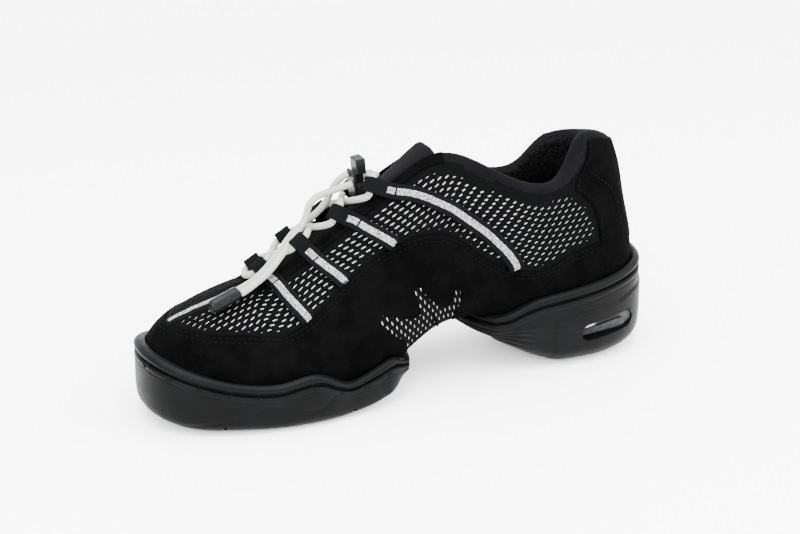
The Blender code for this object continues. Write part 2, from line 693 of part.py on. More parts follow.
def wall_spot(rows, shares):
    """Points and normals of the base face at matching rows and shares."""
    rows = np.asarray(rows, float)
    shares = np.asarray(shares, float)[:, None]
    return upper_points(rows, shares)[:, 0], upper_normals(rows, shares)[:, 0]


def loop_frame(name, side):
    """A loop's band line with its directions along, across and out, and the centre of its eye."""
    rows, shares = loop_path(*LOOPS[name])
    rows = rows if side > 0 else opposite(rows)
    spot, out = wall_spot(rows, shares)
    along = np.gradient(spot, axis=0)
    along /= np.linalg.norm(along, axis=1, keepdims=True)
    across = np.cross(along, out)
    across /= np.linalg.norm(across, axis=1, keepdims=True)
    eye = spot[0] - along[0] * EYE_REACH + out[0] * (BAND_LIFT + BAND_THICKNESS / 2 + EYE_LIFT)
    spot = np.concatenate([spot[:1] - along[:1] * BAND_END, spot])
    along, across, out = (np.concatenate([lines[:1], lines]) for lines in (along, across, out))
    return spot, along, across, out, eye


def build_loop(name, side, material):
    spot, along, across, out, eye = loop_frame(name, side)
    label = "left" if side > 0 else "right"
    base = spot + out * (BAND_LIFT + BAND_THICKNESS)
    spread = np.linspace(-0.5, 0.5, 3)[None, :, None] * BAND_WIDTH
    face = base[:, None] + across[:, None] * spread * (1 if side > 0 else -1)
    band = slab(f"lace_loop_{label}_{name}", face, BAND_THICKNESS, material)
    turn = np.arange(EYE_SEGMENTS) * 2 * np.pi / EYE_SEGMENTS
    ray = np.cos(turn)[:, None] * along[0] + np.sin(turn)[:, None] * out[0]
    corners = [eye + ray * radius + across[0] * offset for radius, offset in (
        (EYE_RADIUS, -BAND_WIDTH / 2), (EYE_RADIUS + BAND_THICKNESS, -BAND_WIDTH / 2),
        (EYE_RADIUS + BAND_THICKNESS, BAND_WIDTH / 2), (EYE_RADIUS, BAND_WIDTH / 2))]
    grid = np.stack(corners + corners[:1], axis=1)
    ring = add_solid(f"eye_cutter_{label}_{name}", grid.reshape(-1, 3), grid_faces(EYE_SEGMENTS, 5), material)
    cut(band, ring, "UNION")
    return band


def build_loops(material):
    for side in (1, -1):
        for name in LOOPS:
            build_loop(name, side, material)


# Lace: two cords that zigzag from eye to eye, joined where they cross

LACE_SIDES = 6
EYE_RUN = 5.2
BEND_STEPS = 9


def s_bend(start, start_way, end, end_way, pull):
    """A cubic from one point and direction to another: the pull is how far each direction carries."""
    part = np.linspace(0, 1, BEND_STEPS)[:, None]
    return (start * (1 + 2 * part) * (1 - part) ** 2 + start_way * pull * part * (1 - part) ** 2
            + end * part ** 2 * (3 - 2 * part) + end_way * pull * part ** 2 * (part - 1))


def smooth_route(points, steps):
    """A smooth curve through a route's points: each stretch is a cubic with slopes from its neighbours."""
    points = np.asarray(points, float)
    span = np.linalg.norm(np.diff(points, axis=0), axis=1) ** 0.5
    place_of = np.concatenate([[0.0], np.cumsum(span)])
    slope = np.gradient(points, place_of, axis=0)
    at = np.concatenate([np.linspace(place_of[k], place_of[k + 1], steps, endpoint=False)
                         for k in range(len(span))] + [place_of[-1:]])
    here = np.clip(np.searchsorted(place_of, at, side="right") - 1, 0, len(span) - 1)
    width = span[here][:, None]
    part = (at - place_of[here])[:, None] / width
    return (points[here] * (1 + 2 * part) * (1 - part) ** 2 + slope[here] * width * part * (1 - part) ** 2
            + points[here + 1] * part ** 2 * (3 - 2 * part)
            + slope[here + 1] * width * part ** 2 * (part - 1))


def tube(name, route, radius, sides, material):
    """A round tube along a route, its ring carried on from point to point without twist."""
    forward = np.gradient(route, axis=0)
    forward /= np.linalg.norm(forward, axis=1, keepdims=True)
    side = np.cross(forward[0], (0.0, 0.0, 1.0))
    turn = np.arange(sides) * 2 * np.pi / sides
    rings = []
    for spot, ahead in zip(route, forward):
        side = side - ahead * (side @ ahead)
        side /= np.linalg.norm(side)
        above = np.cross(side, ahead)
        rings.append(spot + radius * (np.cos(turn)[:, None] * side + np.sin(turn)[:, None] * above))
    count = len(route)
    number = np.arange(count * sides).reshape(count, sides)
    onward = np.roll(number, -1, axis=1)
    faces = np.stack([number[:-1], onward[:-1], onward[1:], number[1:]], axis=2).reshape(-1, 4).tolist()
    faces += [number[0].tolist(), number[-1].tolist()]
    return add_solid(name, np.concatenate(rings), faces, material)


def eye_run(name, side):
    """Front and back ends of the lace's straight run through an eye, and its direction from front to back."""
    spot, along, across, out, eye = loop_frame(name, side)
    backward = -across[0] * np.sign(across[0, 0])
    return eye - backward * EYE_RUN, eye + backward * EYE_RUN, backward


LOCK_FOOT = (149.4, 0.0)
LOCK_LEAN = 0.095
LOCK_SEAT = 2.3
LOCK_DEPTH = 5.8
LOCK_WIDTH = 9.0
BARREL_HEIGHT = 8.6
NOTCH_HEIGHT = 4.6
CAP_HEIGHT = 7.8
LOCK_TRAVEL = 3.5
STEM_SIZE = 3.4
STEM_DEPTH = 3.5
FLANGE_THICKNESS = 1.5
FLANGE_FOOT = 1.0
FLANGE_OVERLAP = 1.6
JOINED = 0.3
CAP_INSET = 0.6
BARREL_ROUND = 1.4
EDGE_ROUND = 0.5


def tongue_height(x):
    """Height of the tongue's crown at a place along the shoe."""
    crown = tongue_line(TONGUE_ROWS)[:, 2]
    order = np.argsort(crown[:, 0])
    return np.interp(x, crown[order, 0], crown[order, 2])


def lock_point(fore, across, up):
    """A point of the cord lock in the last's frame from its own directions, up along its lean."""
    axis = np.array([LOCK_LEAN, 0.0, 1.0]) / np.hypot(LOCK_LEAN, 1.0)
    ahead = np.array([axis[2], 0.0, -axis[0]])
    foot = np.array([LOCK_FOOT[0], LOCK_FOOT[1], tongue_height(LOCK_FOOT[0]) + LOCK_SEAT])
    return foot + ahead * fore + np.array([0.0, 1.0, 0.0]) * across + axis * up


def lock_block(name, fore, across, up, material, origin=(0.0, 0.0, 0.0)):
    """A block of the cord lock between pairs of its own directions."""
    corners = np.array([lock_point(a, b, c) for c in up for b in across for a in fore])
    faces = [(0, 1, 3, 2), (4, 6, 7, 5), (0, 4, 5, 1), (2, 3, 7, 6), (0, 2, 6, 4), (1, 5, 7, 3)]
    return add_solid(name, corners, faces, material, origin)


def soften(item, width):
    """Rounds an object's edges."""
    bevel = item.modifiers.new("soft_edges", "BEVEL")
    bevel.width = width * MM
    bevel.segments = 2
    bevel.limit_method = "ANGLE"


def build_lock_body(material):
    """A barrel with a bore for the button's stem and a flat flange up its front."""
    half_depth = LOCK_DEPTH / 2
    width = (-LOCK_WIDTH / 2, LOCK_WIDTH / 2)
    body = lock_block("cord_lock_body", (-half_depth, half_depth), width, (0.0, BARREL_HEIGHT), material)
    soften(body, BARREL_ROUND)
    flange = lock_block("flange_cutter", (half_depth - JOINED, half_depth + FLANGE_THICKNESS), width,
                        (FLANGE_FOOT, BARREL_HEIGHT + NOTCH_HEIGHT + FLANGE_OVERLAP), material)
    soften(flange, EDGE_ROUND)
    cut(body, flange, "UNION")
    bore = (-STEM_SIZE / 2 - CLEARANCE, STEM_SIZE / 2 + CLEARANCE)
    floor = BARREL_HEIGHT - STEM_DEPTH - LOCK_TRAVEL - CLEARANCE
    cut(body, lock_block("bore_cutter", bore, bore, (floor, 2 * BARREL_HEIGHT), material))
    return body


def build_lock_button(material):
    """A cap on a square stem that slides in the barrel's bore."""
    half_depth = LOCK_DEPTH / 2
    half_width = LOCK_WIDTH / 2 - CAP_INSET
    low = BARREL_HEIGHT + NOTCH_HEIGHT
    depths = (-half_depth, half_depth - JOINED - CLEARANCE)
    cap = lock_block("cord_lock_button", depths, (-half_width, half_width), (low, low + CAP_HEIGHT), material,
                     lock_point(0.0, 0.0, 0.0))
    soften(cap, EDGE_ROUND)
    stem = (-STEM_SIZE / 2, STEM_SIZE / 2)
    stem_heights = (BARREL_HEIGHT - STEM_DEPTH, low + CAP_HEIGHT / 2)
    cut(cap, lock_block("stem_cutter", stem, stem, stem_heights, material), "UNION")
    return cap


CORD_DROP = 1.8
CORD_PAIR = 2.1
TAIL_SPREAD = 2.0
BAR_REACH = 3.6
BAR_JOIN = 0.6
BAR_PULL = 6.0
CROSSING_PULL = 20.0
LOCK_PULL = 16.0
LOCK_RUN = 4.5


def lock_rear(side):
    """Where a cord meets the back of the lock, and its direction there."""
    up = BARREL_HEIGHT + NOTCH_HEIGHT / 2 - CORD_DROP
    rear = -LOCK_DEPTH / 2 - CLEARANCE
    end = lock_point(rear, side * CORD_PAIR, up)
    return end, lock_point(rear + 1.0, side * CORD_PAIR, up) - end


def cord_route(first):
    """One cord from the middle of the bottom bar up to the lock, on the given side at the first eye."""
    sides = [first * (-1) ** k for k in range(len(LOOPS))]
    left, right = eye_run("1", 1), eye_run("1", -1)
    sideways = np.array([0.0, float(first), 0.0])
    here = (left[0] + right[0]) / 2 - (left[2] + right[2]) / 2 * BAR_REACH - sideways * BAR_JOIN
    way = sideways
    pull = BAR_PULL
    stretches = []
    for name, side in zip(LOOPS, sides):
        front, back, backward = eye_run(name, side)
        stretches.append(s_bend(here, way, front, backward, pull))
        here, way, pull = back, backward, CROSSING_PULL
    end, ahead = lock_rear(sides[-1])
    stretches.append(s_bend(here, way, end - ahead * LOCK_RUN, ahead, LOCK_PULL))
    return np.concatenate(stretches + [end[None]])


def build_lace(material):
    cords = [tube(name, cord_route(first), LACE_DIAMETER / 2, LACE_SIDES, material)
             for name, first in (("lace_crossings", 1), ("lace_cutter", -1))]
    cut(cords[0], cords[1], "UNION")
    return cords[0]


# Lace ends: two free cords from the lock's front down to the end barrel on the vamp

CORD_END_ROUTE = ((219.6, 16.2, 62.4), (233.1, 18.2, 58.2))
CORD_END_RADIUS = 3.4
CORD_END_SIDES = 16
TAIL_ROUTES = {
    "lace_end_left": ((163.1, 2.0, 101.2), (172.0, 2.0, 99.0), (178.2, 2.4, 93.5), (181.8, 2.8, 88.6),
                      (186.4, 4.0, 84.4), (194.0, 6.8, 80.4), (204.5, 11.6, 75.4), (211.5, 15.2, 69.0)),
    "lace_end_right": ((161.0, -3.0, 103.4), (165.4, -4.4, 98.0), (169.4, -4.6, 93.0), (174.6, -3.6, 88.8),
                       (181.0, -2.4, 84.8), (190.0, -0.6, 80.4), (199.0, 4.2, 78.4), (205.6, 7.6, 75.6),
                       (211.0, 11.0, 68.6)),
}
TAIL_STEPS = 3
TAIL_STARTS = (CLEARANCE, 2.0)
TAIL_FINISH = 3.0


def tail_route(name, side):
    """A lace end's whole route: out of the lock's flange, down its listed points and into the end barrel."""
    start = [lock_point(LOCK_DEPTH / 2 + FLANGE_THICKNESS + ahead, side * CORD_PAIR,
                        BARREL_HEIGHT + NOTCH_HEIGHT / 2 - side * TAIL_SPREAD) for ahead in TAIL_STARTS]
    rear, front = np.array(CORD_END_ROUTE)
    ahead = (front - rear) / np.linalg.norm(front - rear)
    apart = np.cross(ahead, (0.0, 0.0, 1.0)) * -side * (LACE_DIAMETER / 2 + CLEARANCE)
    finish = rear - ahead * CLEARANCE + apart
    return np.vstack([start, TAIL_ROUTES[name], finish - ahead * TAIL_FINISH, finish])


def build_lace_ends(material):
    for name, side in (("lace_end_left", 1), ("lace_end_right", -1)):
        route = smooth_route(tail_route(name, side), TAIL_STEPS) * MM
        curve = bpy.data.curves.new(name, "CURVE")
        curve.dimensions = "3D"
        curve.bevel_depth = LACE_DIAMETER / 2 * MM
        curve.bevel_resolution = 2
        curve.use_fill_caps = True
        line = curve.splines.new("POLY")
        line.points.add(len(route) - 1)
        line.points.foreach_set("co", np.column_stack([route, np.ones(len(route))]).ravel())
        curve.materials.append(material)
        place(bpy.data.objects.new(name, curve))


def build_cord_end(material):
    rear, front = np.array(CORD_END_ROUTE)
    barrel = tube("cord_end", np.stack([rear, front]), CORD_END_RADIUS, CORD_END_SIDES, material)
    soften(barrel, EDGE_ROUND)
    return barrel


def clear_scene():
    for item in list(bpy.data.objects):
        bpy.data.objects.remove(item, do_unlink=True)


def stand_on_origin(loose):
    """Hangs every object on one empty that brings the middle of the shoe's foot to the origin."""
    bpy.context.view_layer.update()
    corners = np.array([item.matrix_world @ point.co for item in bpy.data.objects
                        if item.type == "MESH" and not item.hide_render and item.name not in loose
                        for point in item.data.vertices])
    low = corners.min(axis=0)
    high = corners.max(axis=0)
    root = place(bpy.data.objects.new("shoe_origin", None))
    root.location = (-(low[0] + high[0]) / 2, -(low[1] + high[1]) / 2, -low[2])
    for item in bpy.data.objects:
        if item is not root and item.parent is None:
            item.parent = root


clear_scene()
UPPER_CLOTH = plain_material("upper_cloth", (0.020, 0.020, 0.022), 0.85)
INSOLE_CLOTH = plain_material("insole_cloth", (0.06, 0.06, 0.065), 0.9)
TONGUE_FOAM = plain_material("tongue_foam", (0.022, 0.020, 0.026), 0.9)
SOLE_RUBBER = plain_material("sole_rubber", (0.028, 0.030, 0.030), 0.5)
WINDOW_PALE = plain_material("window_pale", (0.45, 0.46, 0.46), 0.35)
WEBBING = plain_material("webbing", (0.018, 0.018, 0.018), 0.8)
LACE_ELASTIC = plain_material("lace_elastic", (0.72, 0.72, 0.69), 0.75)
LOCK_PLASTIC = plain_material("lock_plastic", (0.030, 0.031, 0.032), 0.4)
build_upper(UPPER_CLOTH)
build_insole(INSOLE_CLOTH)
FOREFOOT_SOLE, HEEL_SOLE = build_soles(SOLE_RUBBER)
build_windows(HEEL_SOLE, SOLE_RUBBER, WINDOW_PALE)
cut_flex_grooves(FOREFOOT_SOLE, SOLE_RUBBER)
build_tongue(TONGUE_FOAM)
build_loops(WEBBING)
build_lace(LACE_ELASTIC)
build_lace_ends(LACE_ELASTIC)
build_lock_body(LOCK_PLASTIC)
build_lock_button(LOCK_PLASTIC)
build_cord_end(LOCK_PLASTIC)
stand_on_origin(("lace_end_left", "lace_end_right", "cord_end"))
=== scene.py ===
# %% [markdown]
# # A split-sole dance sneaker
#
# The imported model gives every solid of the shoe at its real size. This lesson dresses those solids: knitted
# mesh with open holes, suede laid over it, webbing loops with a reflective strip, an elastic lace with its
# toggle, and two moulded half soles. Each step says what the piece is on a real shoe and how it is drawn here.

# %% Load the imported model
import bmesh
import bpy
import numpy as np
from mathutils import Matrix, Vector


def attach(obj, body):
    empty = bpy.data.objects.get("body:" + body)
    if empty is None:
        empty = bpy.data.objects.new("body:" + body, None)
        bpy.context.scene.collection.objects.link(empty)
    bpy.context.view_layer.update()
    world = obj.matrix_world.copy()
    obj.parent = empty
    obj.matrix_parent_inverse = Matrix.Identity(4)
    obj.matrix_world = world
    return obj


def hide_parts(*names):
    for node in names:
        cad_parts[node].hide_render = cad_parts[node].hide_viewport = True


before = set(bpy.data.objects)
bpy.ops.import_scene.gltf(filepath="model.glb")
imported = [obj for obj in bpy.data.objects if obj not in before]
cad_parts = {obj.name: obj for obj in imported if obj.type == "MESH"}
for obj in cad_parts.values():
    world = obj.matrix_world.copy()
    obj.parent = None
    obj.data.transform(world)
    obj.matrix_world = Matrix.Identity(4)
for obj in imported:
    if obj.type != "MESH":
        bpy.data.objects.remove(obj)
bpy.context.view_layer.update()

# %% [markdown]
# ## Where the shoe lies
#
# The shoe was drawn on a last, the block that a shoemaker shapes the upper on, in millimetres with x from the
# back of the heel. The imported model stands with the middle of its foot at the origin, in metres. One function
# goes from the first to the second, so every piece below can be drawn in the shoemaker's own numbers.

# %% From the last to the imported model
MM = 0.001
OFFSET = np.array([-133.28231, -1.67724, 0.0])


def in_metres(points):
    """(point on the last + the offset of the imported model) x 0.001."""
    return (np.asarray(points, float) + OFFSET) * MM


print("heel's back at", in_metres([0.0, 0.0, 0.0]).round(4))

# %% [markdown]
# ## Camera
#
# The photograph was taken from a little above and a little in front of the shoe's inner side, with a long lens
# that hardly narrows the far end. A long lens far away does the same here.

# %% Camera
VIEW_TURN = np.radians(24.0)
VIEW_RISE = np.radians(22.5)
VIEW_DISTANCE = 1300.0
VIEW_TARGET = np.array([128.6, 0.0, 54.1])
LENS = 118.8
SENSOR = 36.0
NEAREST = 0.01


def in_scene(name, data):
    """A new object in the scene that shows the data."""
    item = bpy.data.objects.new(name, data)
    bpy.context.scene.collection.objects.link(item)
    return item


def look(item, place, aim):
    """Puts a camera or a lamp at a place and turns it towards its aim."""
    item.location = Vector(place)
    item.rotation_euler = (Vector(aim) - Vector(place)).to_track_quat("-Z", "Y").to_euler()
    return item


def add_camera():
    """The eye lies a distance from the target along (sin turn cos rise, cos turn cos rise, sin rise)."""
    level = np.cos(VIEW_RISE)
    ray = np.array([np.sin(VIEW_TURN) * level, np.cos(VIEW_TURN) * level, np.sin(VIEW_RISE)])
    camera = in_scene("camera", bpy.data.cameras.new("camera"))
    camera.data.lens = LENS
    camera.data.sensor_width = SENSOR
    camera.data.clip_start = NEAREST
    bpy.context.scene.camera = camera
    return look(camera, in_metres(VIEW_TARGET + ray * VIEW_DISTANCE), in_metres(VIEW_TARGET))


print("camera at", [round(value, 3) for value in add_camera().location])

# %% [markdown]
# ## Shader sums
#
# A finish is easier to read as a sum than as a picture of nodes. A wire stands for one socket: adding or
# multiplying wires adds Math nodes, and every other node comes from its node method, settings first.

# %% A wire class for materials


class Wire:
    """One node socket. Sums of wires and numbers add Math nodes; node() adds any other node."""

    def __init__(self, tree, socket):
        self.tree = tree
        self.socket = socket

    def node(self, kind, settings=None, sockets=None, output=0):
        """A new node: settings first, then values or wires for its sockets; gives a wire of one output."""
        made = self.tree.nodes.new(kind)
        for name, value in (settings or {}).items():
            setattr(made, name, value)
        for name, value in (sockets or {}).items():
            if isinstance(value, Wire):
                self.tree.links.new(value.socket, made.inputs[name])
            else:
                made.inputs[name].default_value = value
        return Wire(self.tree, made.outputs[output])

    def math(self, operation, first, second=0.0):
        return self.node("ShaderNodeMath", {"operation": operation}, {0: first, 1: second})

    def __add__(self, other):
        return self.math("ADD", self, other)

    def __sub__(self, other):
        return self.math("SUBTRACT", self, other)

    def __rsub__(self, other):
        return self.math("SUBTRACT", other, self)

    def __mul__(self, other):
        return self.math("MULTIPLY", self, other)

    __radd__ = __add__
    __rmul__ = __mul__

    def sine(self):
        """Sine of the wire, in radians."""
        return self.math("SINE", self)

    def span(self, low, high):
        """0 at low, 1 at high, clipped between."""
        return self.node("ShaderNodeMapRange", {"interpolation_type": "SMOOTHSTEP"},
                         {"Value": self, "From Min": low, "From Max": high})

    def mix(self, first, second):
        """The first colour where the wire is 0, the second where it is 1."""
        return self.node("ShaderNodeMix", {"data_type": "RGBA"}, {0: self, 6: first, 7: second}, output=2)

    def noise(self, scale, detail=2.0, roughness=0.5):
        """Soft noise at the wire's place."""
        return self.node("ShaderNodeTexNoise", {}, {"Vector": self, "Scale": scale, "Detail": detail,
                                                    "Roughness": roughness})

    def cells(self, scale):
        """Distance to the nearest of scattered points."""
        return self.node("ShaderNodeTexVoronoi", {}, {"Vector": self, "Scale": scale})

    def part(self, axis):
        """One coordinate of a place."""
        return self.node("ShaderNodeSeparateXYZ", {}, {0: self}, output=axis)


def grey(level, tint=0.0):
    """A near-neutral colour, a little blue for a positive tint."""
    return (level * (1 - tint), level, level * (1 + tint), 1.0)


def finish(name, paint, shine, uv=False):
    """A material: paint takes a wire of places and gives colour, roughness, and the bump's wire and depth."""
    material = bpy.data.materials.new(name)
    material.use_nodes = True
    tree = material.node_tree
    shader = tree.nodes["Principled BSDF"]
    shader.inputs["Specular IOR Level"].default_value = shine
    start = Wire(tree, shader.outputs[0])
    coords = start.node("ShaderNodeTexCoord", output="UV" if uv else "Object")
    colour, rough, (height, distance) = paint(coords)
    bump = coords.node("ShaderNodeBump", {}, {"Height": height, "Distance": distance, "Strength": 1.0})
    for socket, wire in (("Base Color", colour), ("Roughness", rough), ("Normal", bump)):
        tree.links.new(wire.socket, shader.inputs[socket])
    return material


print("wires ready")

# %% [markdown]
# ## Finishes
#
# Nearly everything on this shoe is black, so the finishes differ by how they catch light. Suede is a nap of
# short fibres that swallows it, rubber is smooth and satin, webbing is ribbed, the lace is a braid, and the
# strips are tiny beads that send light back as a speckled grey.

# %% Suede, rubber, plastic


def suede_paint(place):
    """Fine fibres for the bump, broad brushed patches for the colour."""
    nap = place.noise(2600.0, 3.0, 0.6)
    brushed = place.noise(70.0, 3.0, 0.6)
    return ((brushed * 0.7 + nap * 0.3).span(0.32, 0.68).mix(grey(0.0003), grey(0.0011)),
            0.86 + 0.12 * brushed,
            (nap + place.noise(700.0, 2.0) * 0.5, 0.00035))


def rubber_paint(place):
    """Moulded rubber: even colour with faint clouding, a fine skin and slightly uneven gloss."""
    cloud = place.noise(45.0, 3.0)
    skin = place.noise(5200.0, 2.0)
    return (cloud.span(0.3, 0.7).mix(grey(0.0009, 0.05), grey(0.0015, 0.05)),
            0.36 + 0.16 * place.noise(160.0, 4.0),
            (skin + cloud * 2.0, 0.00004))


def plastic_paint(place):
    """Hard moulded plastic with a fine spark-eroded grain."""
    grain = place.noise(3800.0, 2.0)
    return (place.noise(220.0).span(0.3, 0.7).mix(grey(0.0022, 0.03), grey(0.0036, 0.03)),
            0.26 + 0.16 * grain,
            (grain, 0.00003))


SUEDE = finish("suede", suede_paint, 0.008)
RUBBER = finish("moulded_rubber", rubber_paint, 0.032)
PLASTIC = finish("toggle_plastic", plastic_paint, 0.06)
print("finishes", SUEDE.name, RUBBER.name, PLASTIC.name)

# %% Cloths: knit, pale backing, padded collar, lining


def knit_paint(place):
    """Black yarn: a cell for each loop, a little lighter on top of it as a painted highlight."""
    yarn = place.cells(1900.0)
    # Lighter at the middle of each loop, where it stands up: painted highlight
    return (yarn.span(0.0, 0.6).mix(grey(0.0014, 0.06), grey(0.0004, 0.06)),
            0.72 + 0.2 * yarn,
            (1 - yarn, 0.00018))


def backing_paint(place):
    """Pale spacer cloth that shows through the holes."""
    weave = place.cells(1500.0)
    return (weave.span(0.1, 0.7).mix(grey(0.46), grey(0.26)),
            0.75 + 0.2 * weave,
            (1 - weave, 0.0002))


def foam_cloth_paint(place):
    """Fine jersey over foam: tiny stitches and soft clouding."""
    stitch = place.cells(2400.0)
    cloud = place.noise(90.0, 3.0)
    return ((0.5 * stitch + 0.5 * cloud).span(0.2, 0.75).mix(
                (0.0023, 0.0022, 0.0027, 1.0), (0.0010, 0.0010, 0.0012, 1.0)),
            0.74 + 0.18 * cloud,
            (1 - stitch, 0.00014))


def lining_paint(place):
    """Open black lining mesh inside the shoe."""
    hole = place.cells(620.0)
    return (hole.span(0.2, 0.6).mix(grey(0.0008), grey(0.0034)),
            0.8 + 0.15 * hole,
            (hole, 0.0003))


KNIT = finish("knit_yarn", knit_paint, 0.02)
BACKING = finish("pale_backing", backing_paint, 0.3)
FOAM_CLOTH = finish("foam_cloth", foam_cloth_paint, 0.02)
LINING = finish("lining_mesh", lining_paint, 0.01)
print("cloths", KNIT.name, BACKING.name, FOAM_CLOTH.name, LINING.name)

# %% Narrow goods: webbing, reflective strip, lace braid, thread, window plate
TURN = 2 * np.pi


def webbing_paint(uv):
    """Ribs across the band every 0.9 mm and yarns along it; u is millimetres across, v millimetres along."""
    rib = (uv.part(1) * (TURN / 0.9)).sine()
    yarn = (uv.part(0) * (TURN / 0.8)).sine()
    weave = rib * yarn * 0.5 + 0.5
    return (weave.mix(grey(0.0004, 0.05), grey(0.0034, 0.05)),
            0.7 + 0.2 * weave,
            (weave, 0.00016))


def strip_paint(place):
    """Glass beads in silver ink: a speckle of light and dark grains, rubbed thin in patches."""
    bead = place.cells(1700.0)
    rub = place.noise(900.0, 4.0, 0.7)
    return ((bead * 0.5 + rub * 0.9).span(0.38, 0.85).mix(grey(0.33), grey(0.035)),
            0.38 + 0.3 * rub,
            (1 - bead, 0.00008))


def braid_paint(uv):
    """A tubular braid: two sets of strands wind opposite ways, with painted shade in the grooves between them; u
    turns once round, v counts millimetres.
    """
    around = uv.part(0) * (TURN * 6)
    along = uv.part(1) * (TURN / 2.4)
    strand = (around + along).sine() * (around - along).sine() * 0.5 + 0.5
    soil = uv.noise(3.0, 3.0)
    # Colour darker in the grooves between strands: painted shade; soil adds random tone
    return ((strand * 0.75 + soil * 0.35).span(0.1, 0.9).mix(
                (0.10, 0.098, 0.092, 1.0), (0.31, 0.306, 0.295, 1.0)),
            0.62 + 0.2 * strand,
            (strand, 0.00028))


def thread_paint(place):
    """Waxed black thread with a slight shine."""
    twist = place.noise(3000.0, 2.0)
    return (twist.mix(grey(0.0004), grey(0.0012)),
            0.45 + 0.2 * twist,
            (twist, 0.00008))


def plate_with_shade_paint(place):
    """Plate behind the heel's window, scuffed all over: silver near its front end, near black elsewhere as painted
    shade inside the window's recess.
    """
    scuff = place.noise(400.0, 4.0, 0.6)
    along = place.part(0)
    out_of_painted_shade = along.span(-0.1010, -0.0980) * (1 - along.span(-0.0915, -0.0890))
    # Near black outside the front band: painted shade inside the window, not the plate's own colour
    return (out_of_painted_shade.mix(grey(0.010), scuff.span(0.3, 0.7).mix(grey(0.34), grey(0.58))),
            0.3 + 0.3 * scuff,
            (scuff, 0.00005))


def bar_paint(place):
    """Grey moulded bar with a rubbed face."""
    rub = place.noise(300.0, 4.0, 0.6)
    return (rub.span(0.3, 0.75).mix(grey(0.013, 0.03), grey(0.028, 0.03)),
            0.4 + 0.25 * rub,
            (rub, 0.00006))


WEBBING = finish("ribbed_webbing", webbing_paint, 0.012, uv=True)
STRIP = finish("reflective_strip", strip_paint, 0.15)
BRAID = finish("lace_braid", braid_paint, 0.15, uv=True)
THREAD = finish("black_thread", thread_paint, 0.022)
PLATE = finish("silvered_plate_painted_shade", plate_with_shade_paint, 0.3)
BAR = finish("window_bar_grey", bar_paint, 0.1)
print("narrow goods", WEBBING.name, STRIP.name, BRAID.name, THREAD.name, PLATE.name, BAR.name)

# %% [markdown]
# ## Grids into pieces
#
# Every shape below is a grid of points worked out with numpy. These helpers turn grids into quads, put them in
# a mesh in one go, and hang the finished piece on the body of the model that it moves with.

# %% Mesh helpers


def grid_quads(stations, levels, closed=False, ring=False, first=0):
    """Quads of a grid numbered station x levels + level; closed joins the stations, ring joins the levels."""
    here = np.arange(stations if closed else stations - 1)[:, None]
    level = np.arange(levels if ring else levels - 1)[None, :]
    onward = (here + 1) % stations
    above = (level + 1) % levels
    corners = np.broadcast_arrays(here * levels + level, onward * levels + level,
                                  onward * levels + above, here * levels + above)
    return np.stack(corners, axis=2).reshape(-1, 4) + first


WELD = 0.002
FINE_WELD = 0.0001


def close_up(mesh, weld):
    """Welds points closer than the weld, in millimetres, and turns every face outwards."""
    shape = bmesh.new()
    shape.from_mesh(mesh)
    bmesh.ops.remove_doubles(shape, verts=shape.verts, dist=weld * MM)
    bmesh.ops.dissolve_degenerate(shape, edges=shape.edges, dist=weld * MM / 10)
    bmesh.ops.recalc_face_normals(shape, faces=shape.faces)
    shape.to_mesh(mesh)
    shape.free()


def new_mesh(name, points, face_sets, uv_sets=None, weld=WELD):
    """Fills a mesh from points in millimetres on the last and arrays of faces, with UVs by face corner."""
    mesh = bpy.data.meshes.new(name)
    spots = in_metres(points).astype(np.float32)
    mesh.vertices.add(len(spots))
    mesh.vertices.foreach_set("co", spots.ravel())
    corners = np.concatenate([np.asarray(faces).ravel() for faces in face_sets]).astype(np.int32)
    sizes = np.concatenate([np.full(len(faces), np.asarray(faces).shape[1]) for faces in face_sets])
    mesh.loops.add(len(corners))
    mesh.loops.foreach_set("vertex_index", corners)
    mesh.polygons.add(len(sizes))
    mesh.polygons.foreach_set("loop_start", np.concatenate([[0], np.cumsum(sizes)[:-1]]).astype(np.int32))
    if uv_sets is not None:
        layer = mesh.uv_layers.new(name="UVMap")
        layer.data.foreach_set("uv", np.concatenate([np.asarray(uv, np.float32).ravel() for uv in uv_sets]))
    mesh.update(calc_edges=True)
    mesh.validate()
    if weld:
        close_up(mesh, weld)
    return mesh


def add_piece(mesh, material, replaces=(), body="shoe", sharp=50.0):
    """Makes the mesh an object at the origin, smooth but for sharp edges, riding on a body of the model."""
    piece = in_scene(mesh.name, mesh)
    mesh.materials.append(material)
    mesh.shade_smooth()
    mesh.set_sharp_from_angle(angle=np.radians(sharp))
    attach(piece, body)
    if replaces:
        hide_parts(*replaces)
    return piece


def unit(vectors):
    """Each vector divided by its length."""
    return vectors / np.maximum(np.linalg.norm(vectors, axis=-1, keepdims=True), 1e-9)


def lengths_along(route):
    """Distance from the first point to each point."""
    return np.concatenate([[0.0], np.cumsum(np.linalg.norm(np.diff(route, axis=0), axis=1))])


def read_off(table, at):
    """The second column of a table at places of its first, straight between its rows."""
    return np.interp(at, table[:, 0], table[:, 1])


def ramp(values):
    """Values held between 0 and 1."""
    return np.clip(values, 0, 1)


print("helpers ready")

# %% [markdown]
# ## The last
#
# A last has no flat faces, so the upper is a family of curves: at each of thirteen sections a cubic climbs from
# the feather line, where the wall meets the sole, to the top edge, and a closed spline runs through the sections
# from the heel round the toe and back. A place on the wall is then two numbers: a row, 0 at the heel to 12 at
# the toe and on to 24 along the other side, and a share of the climb.

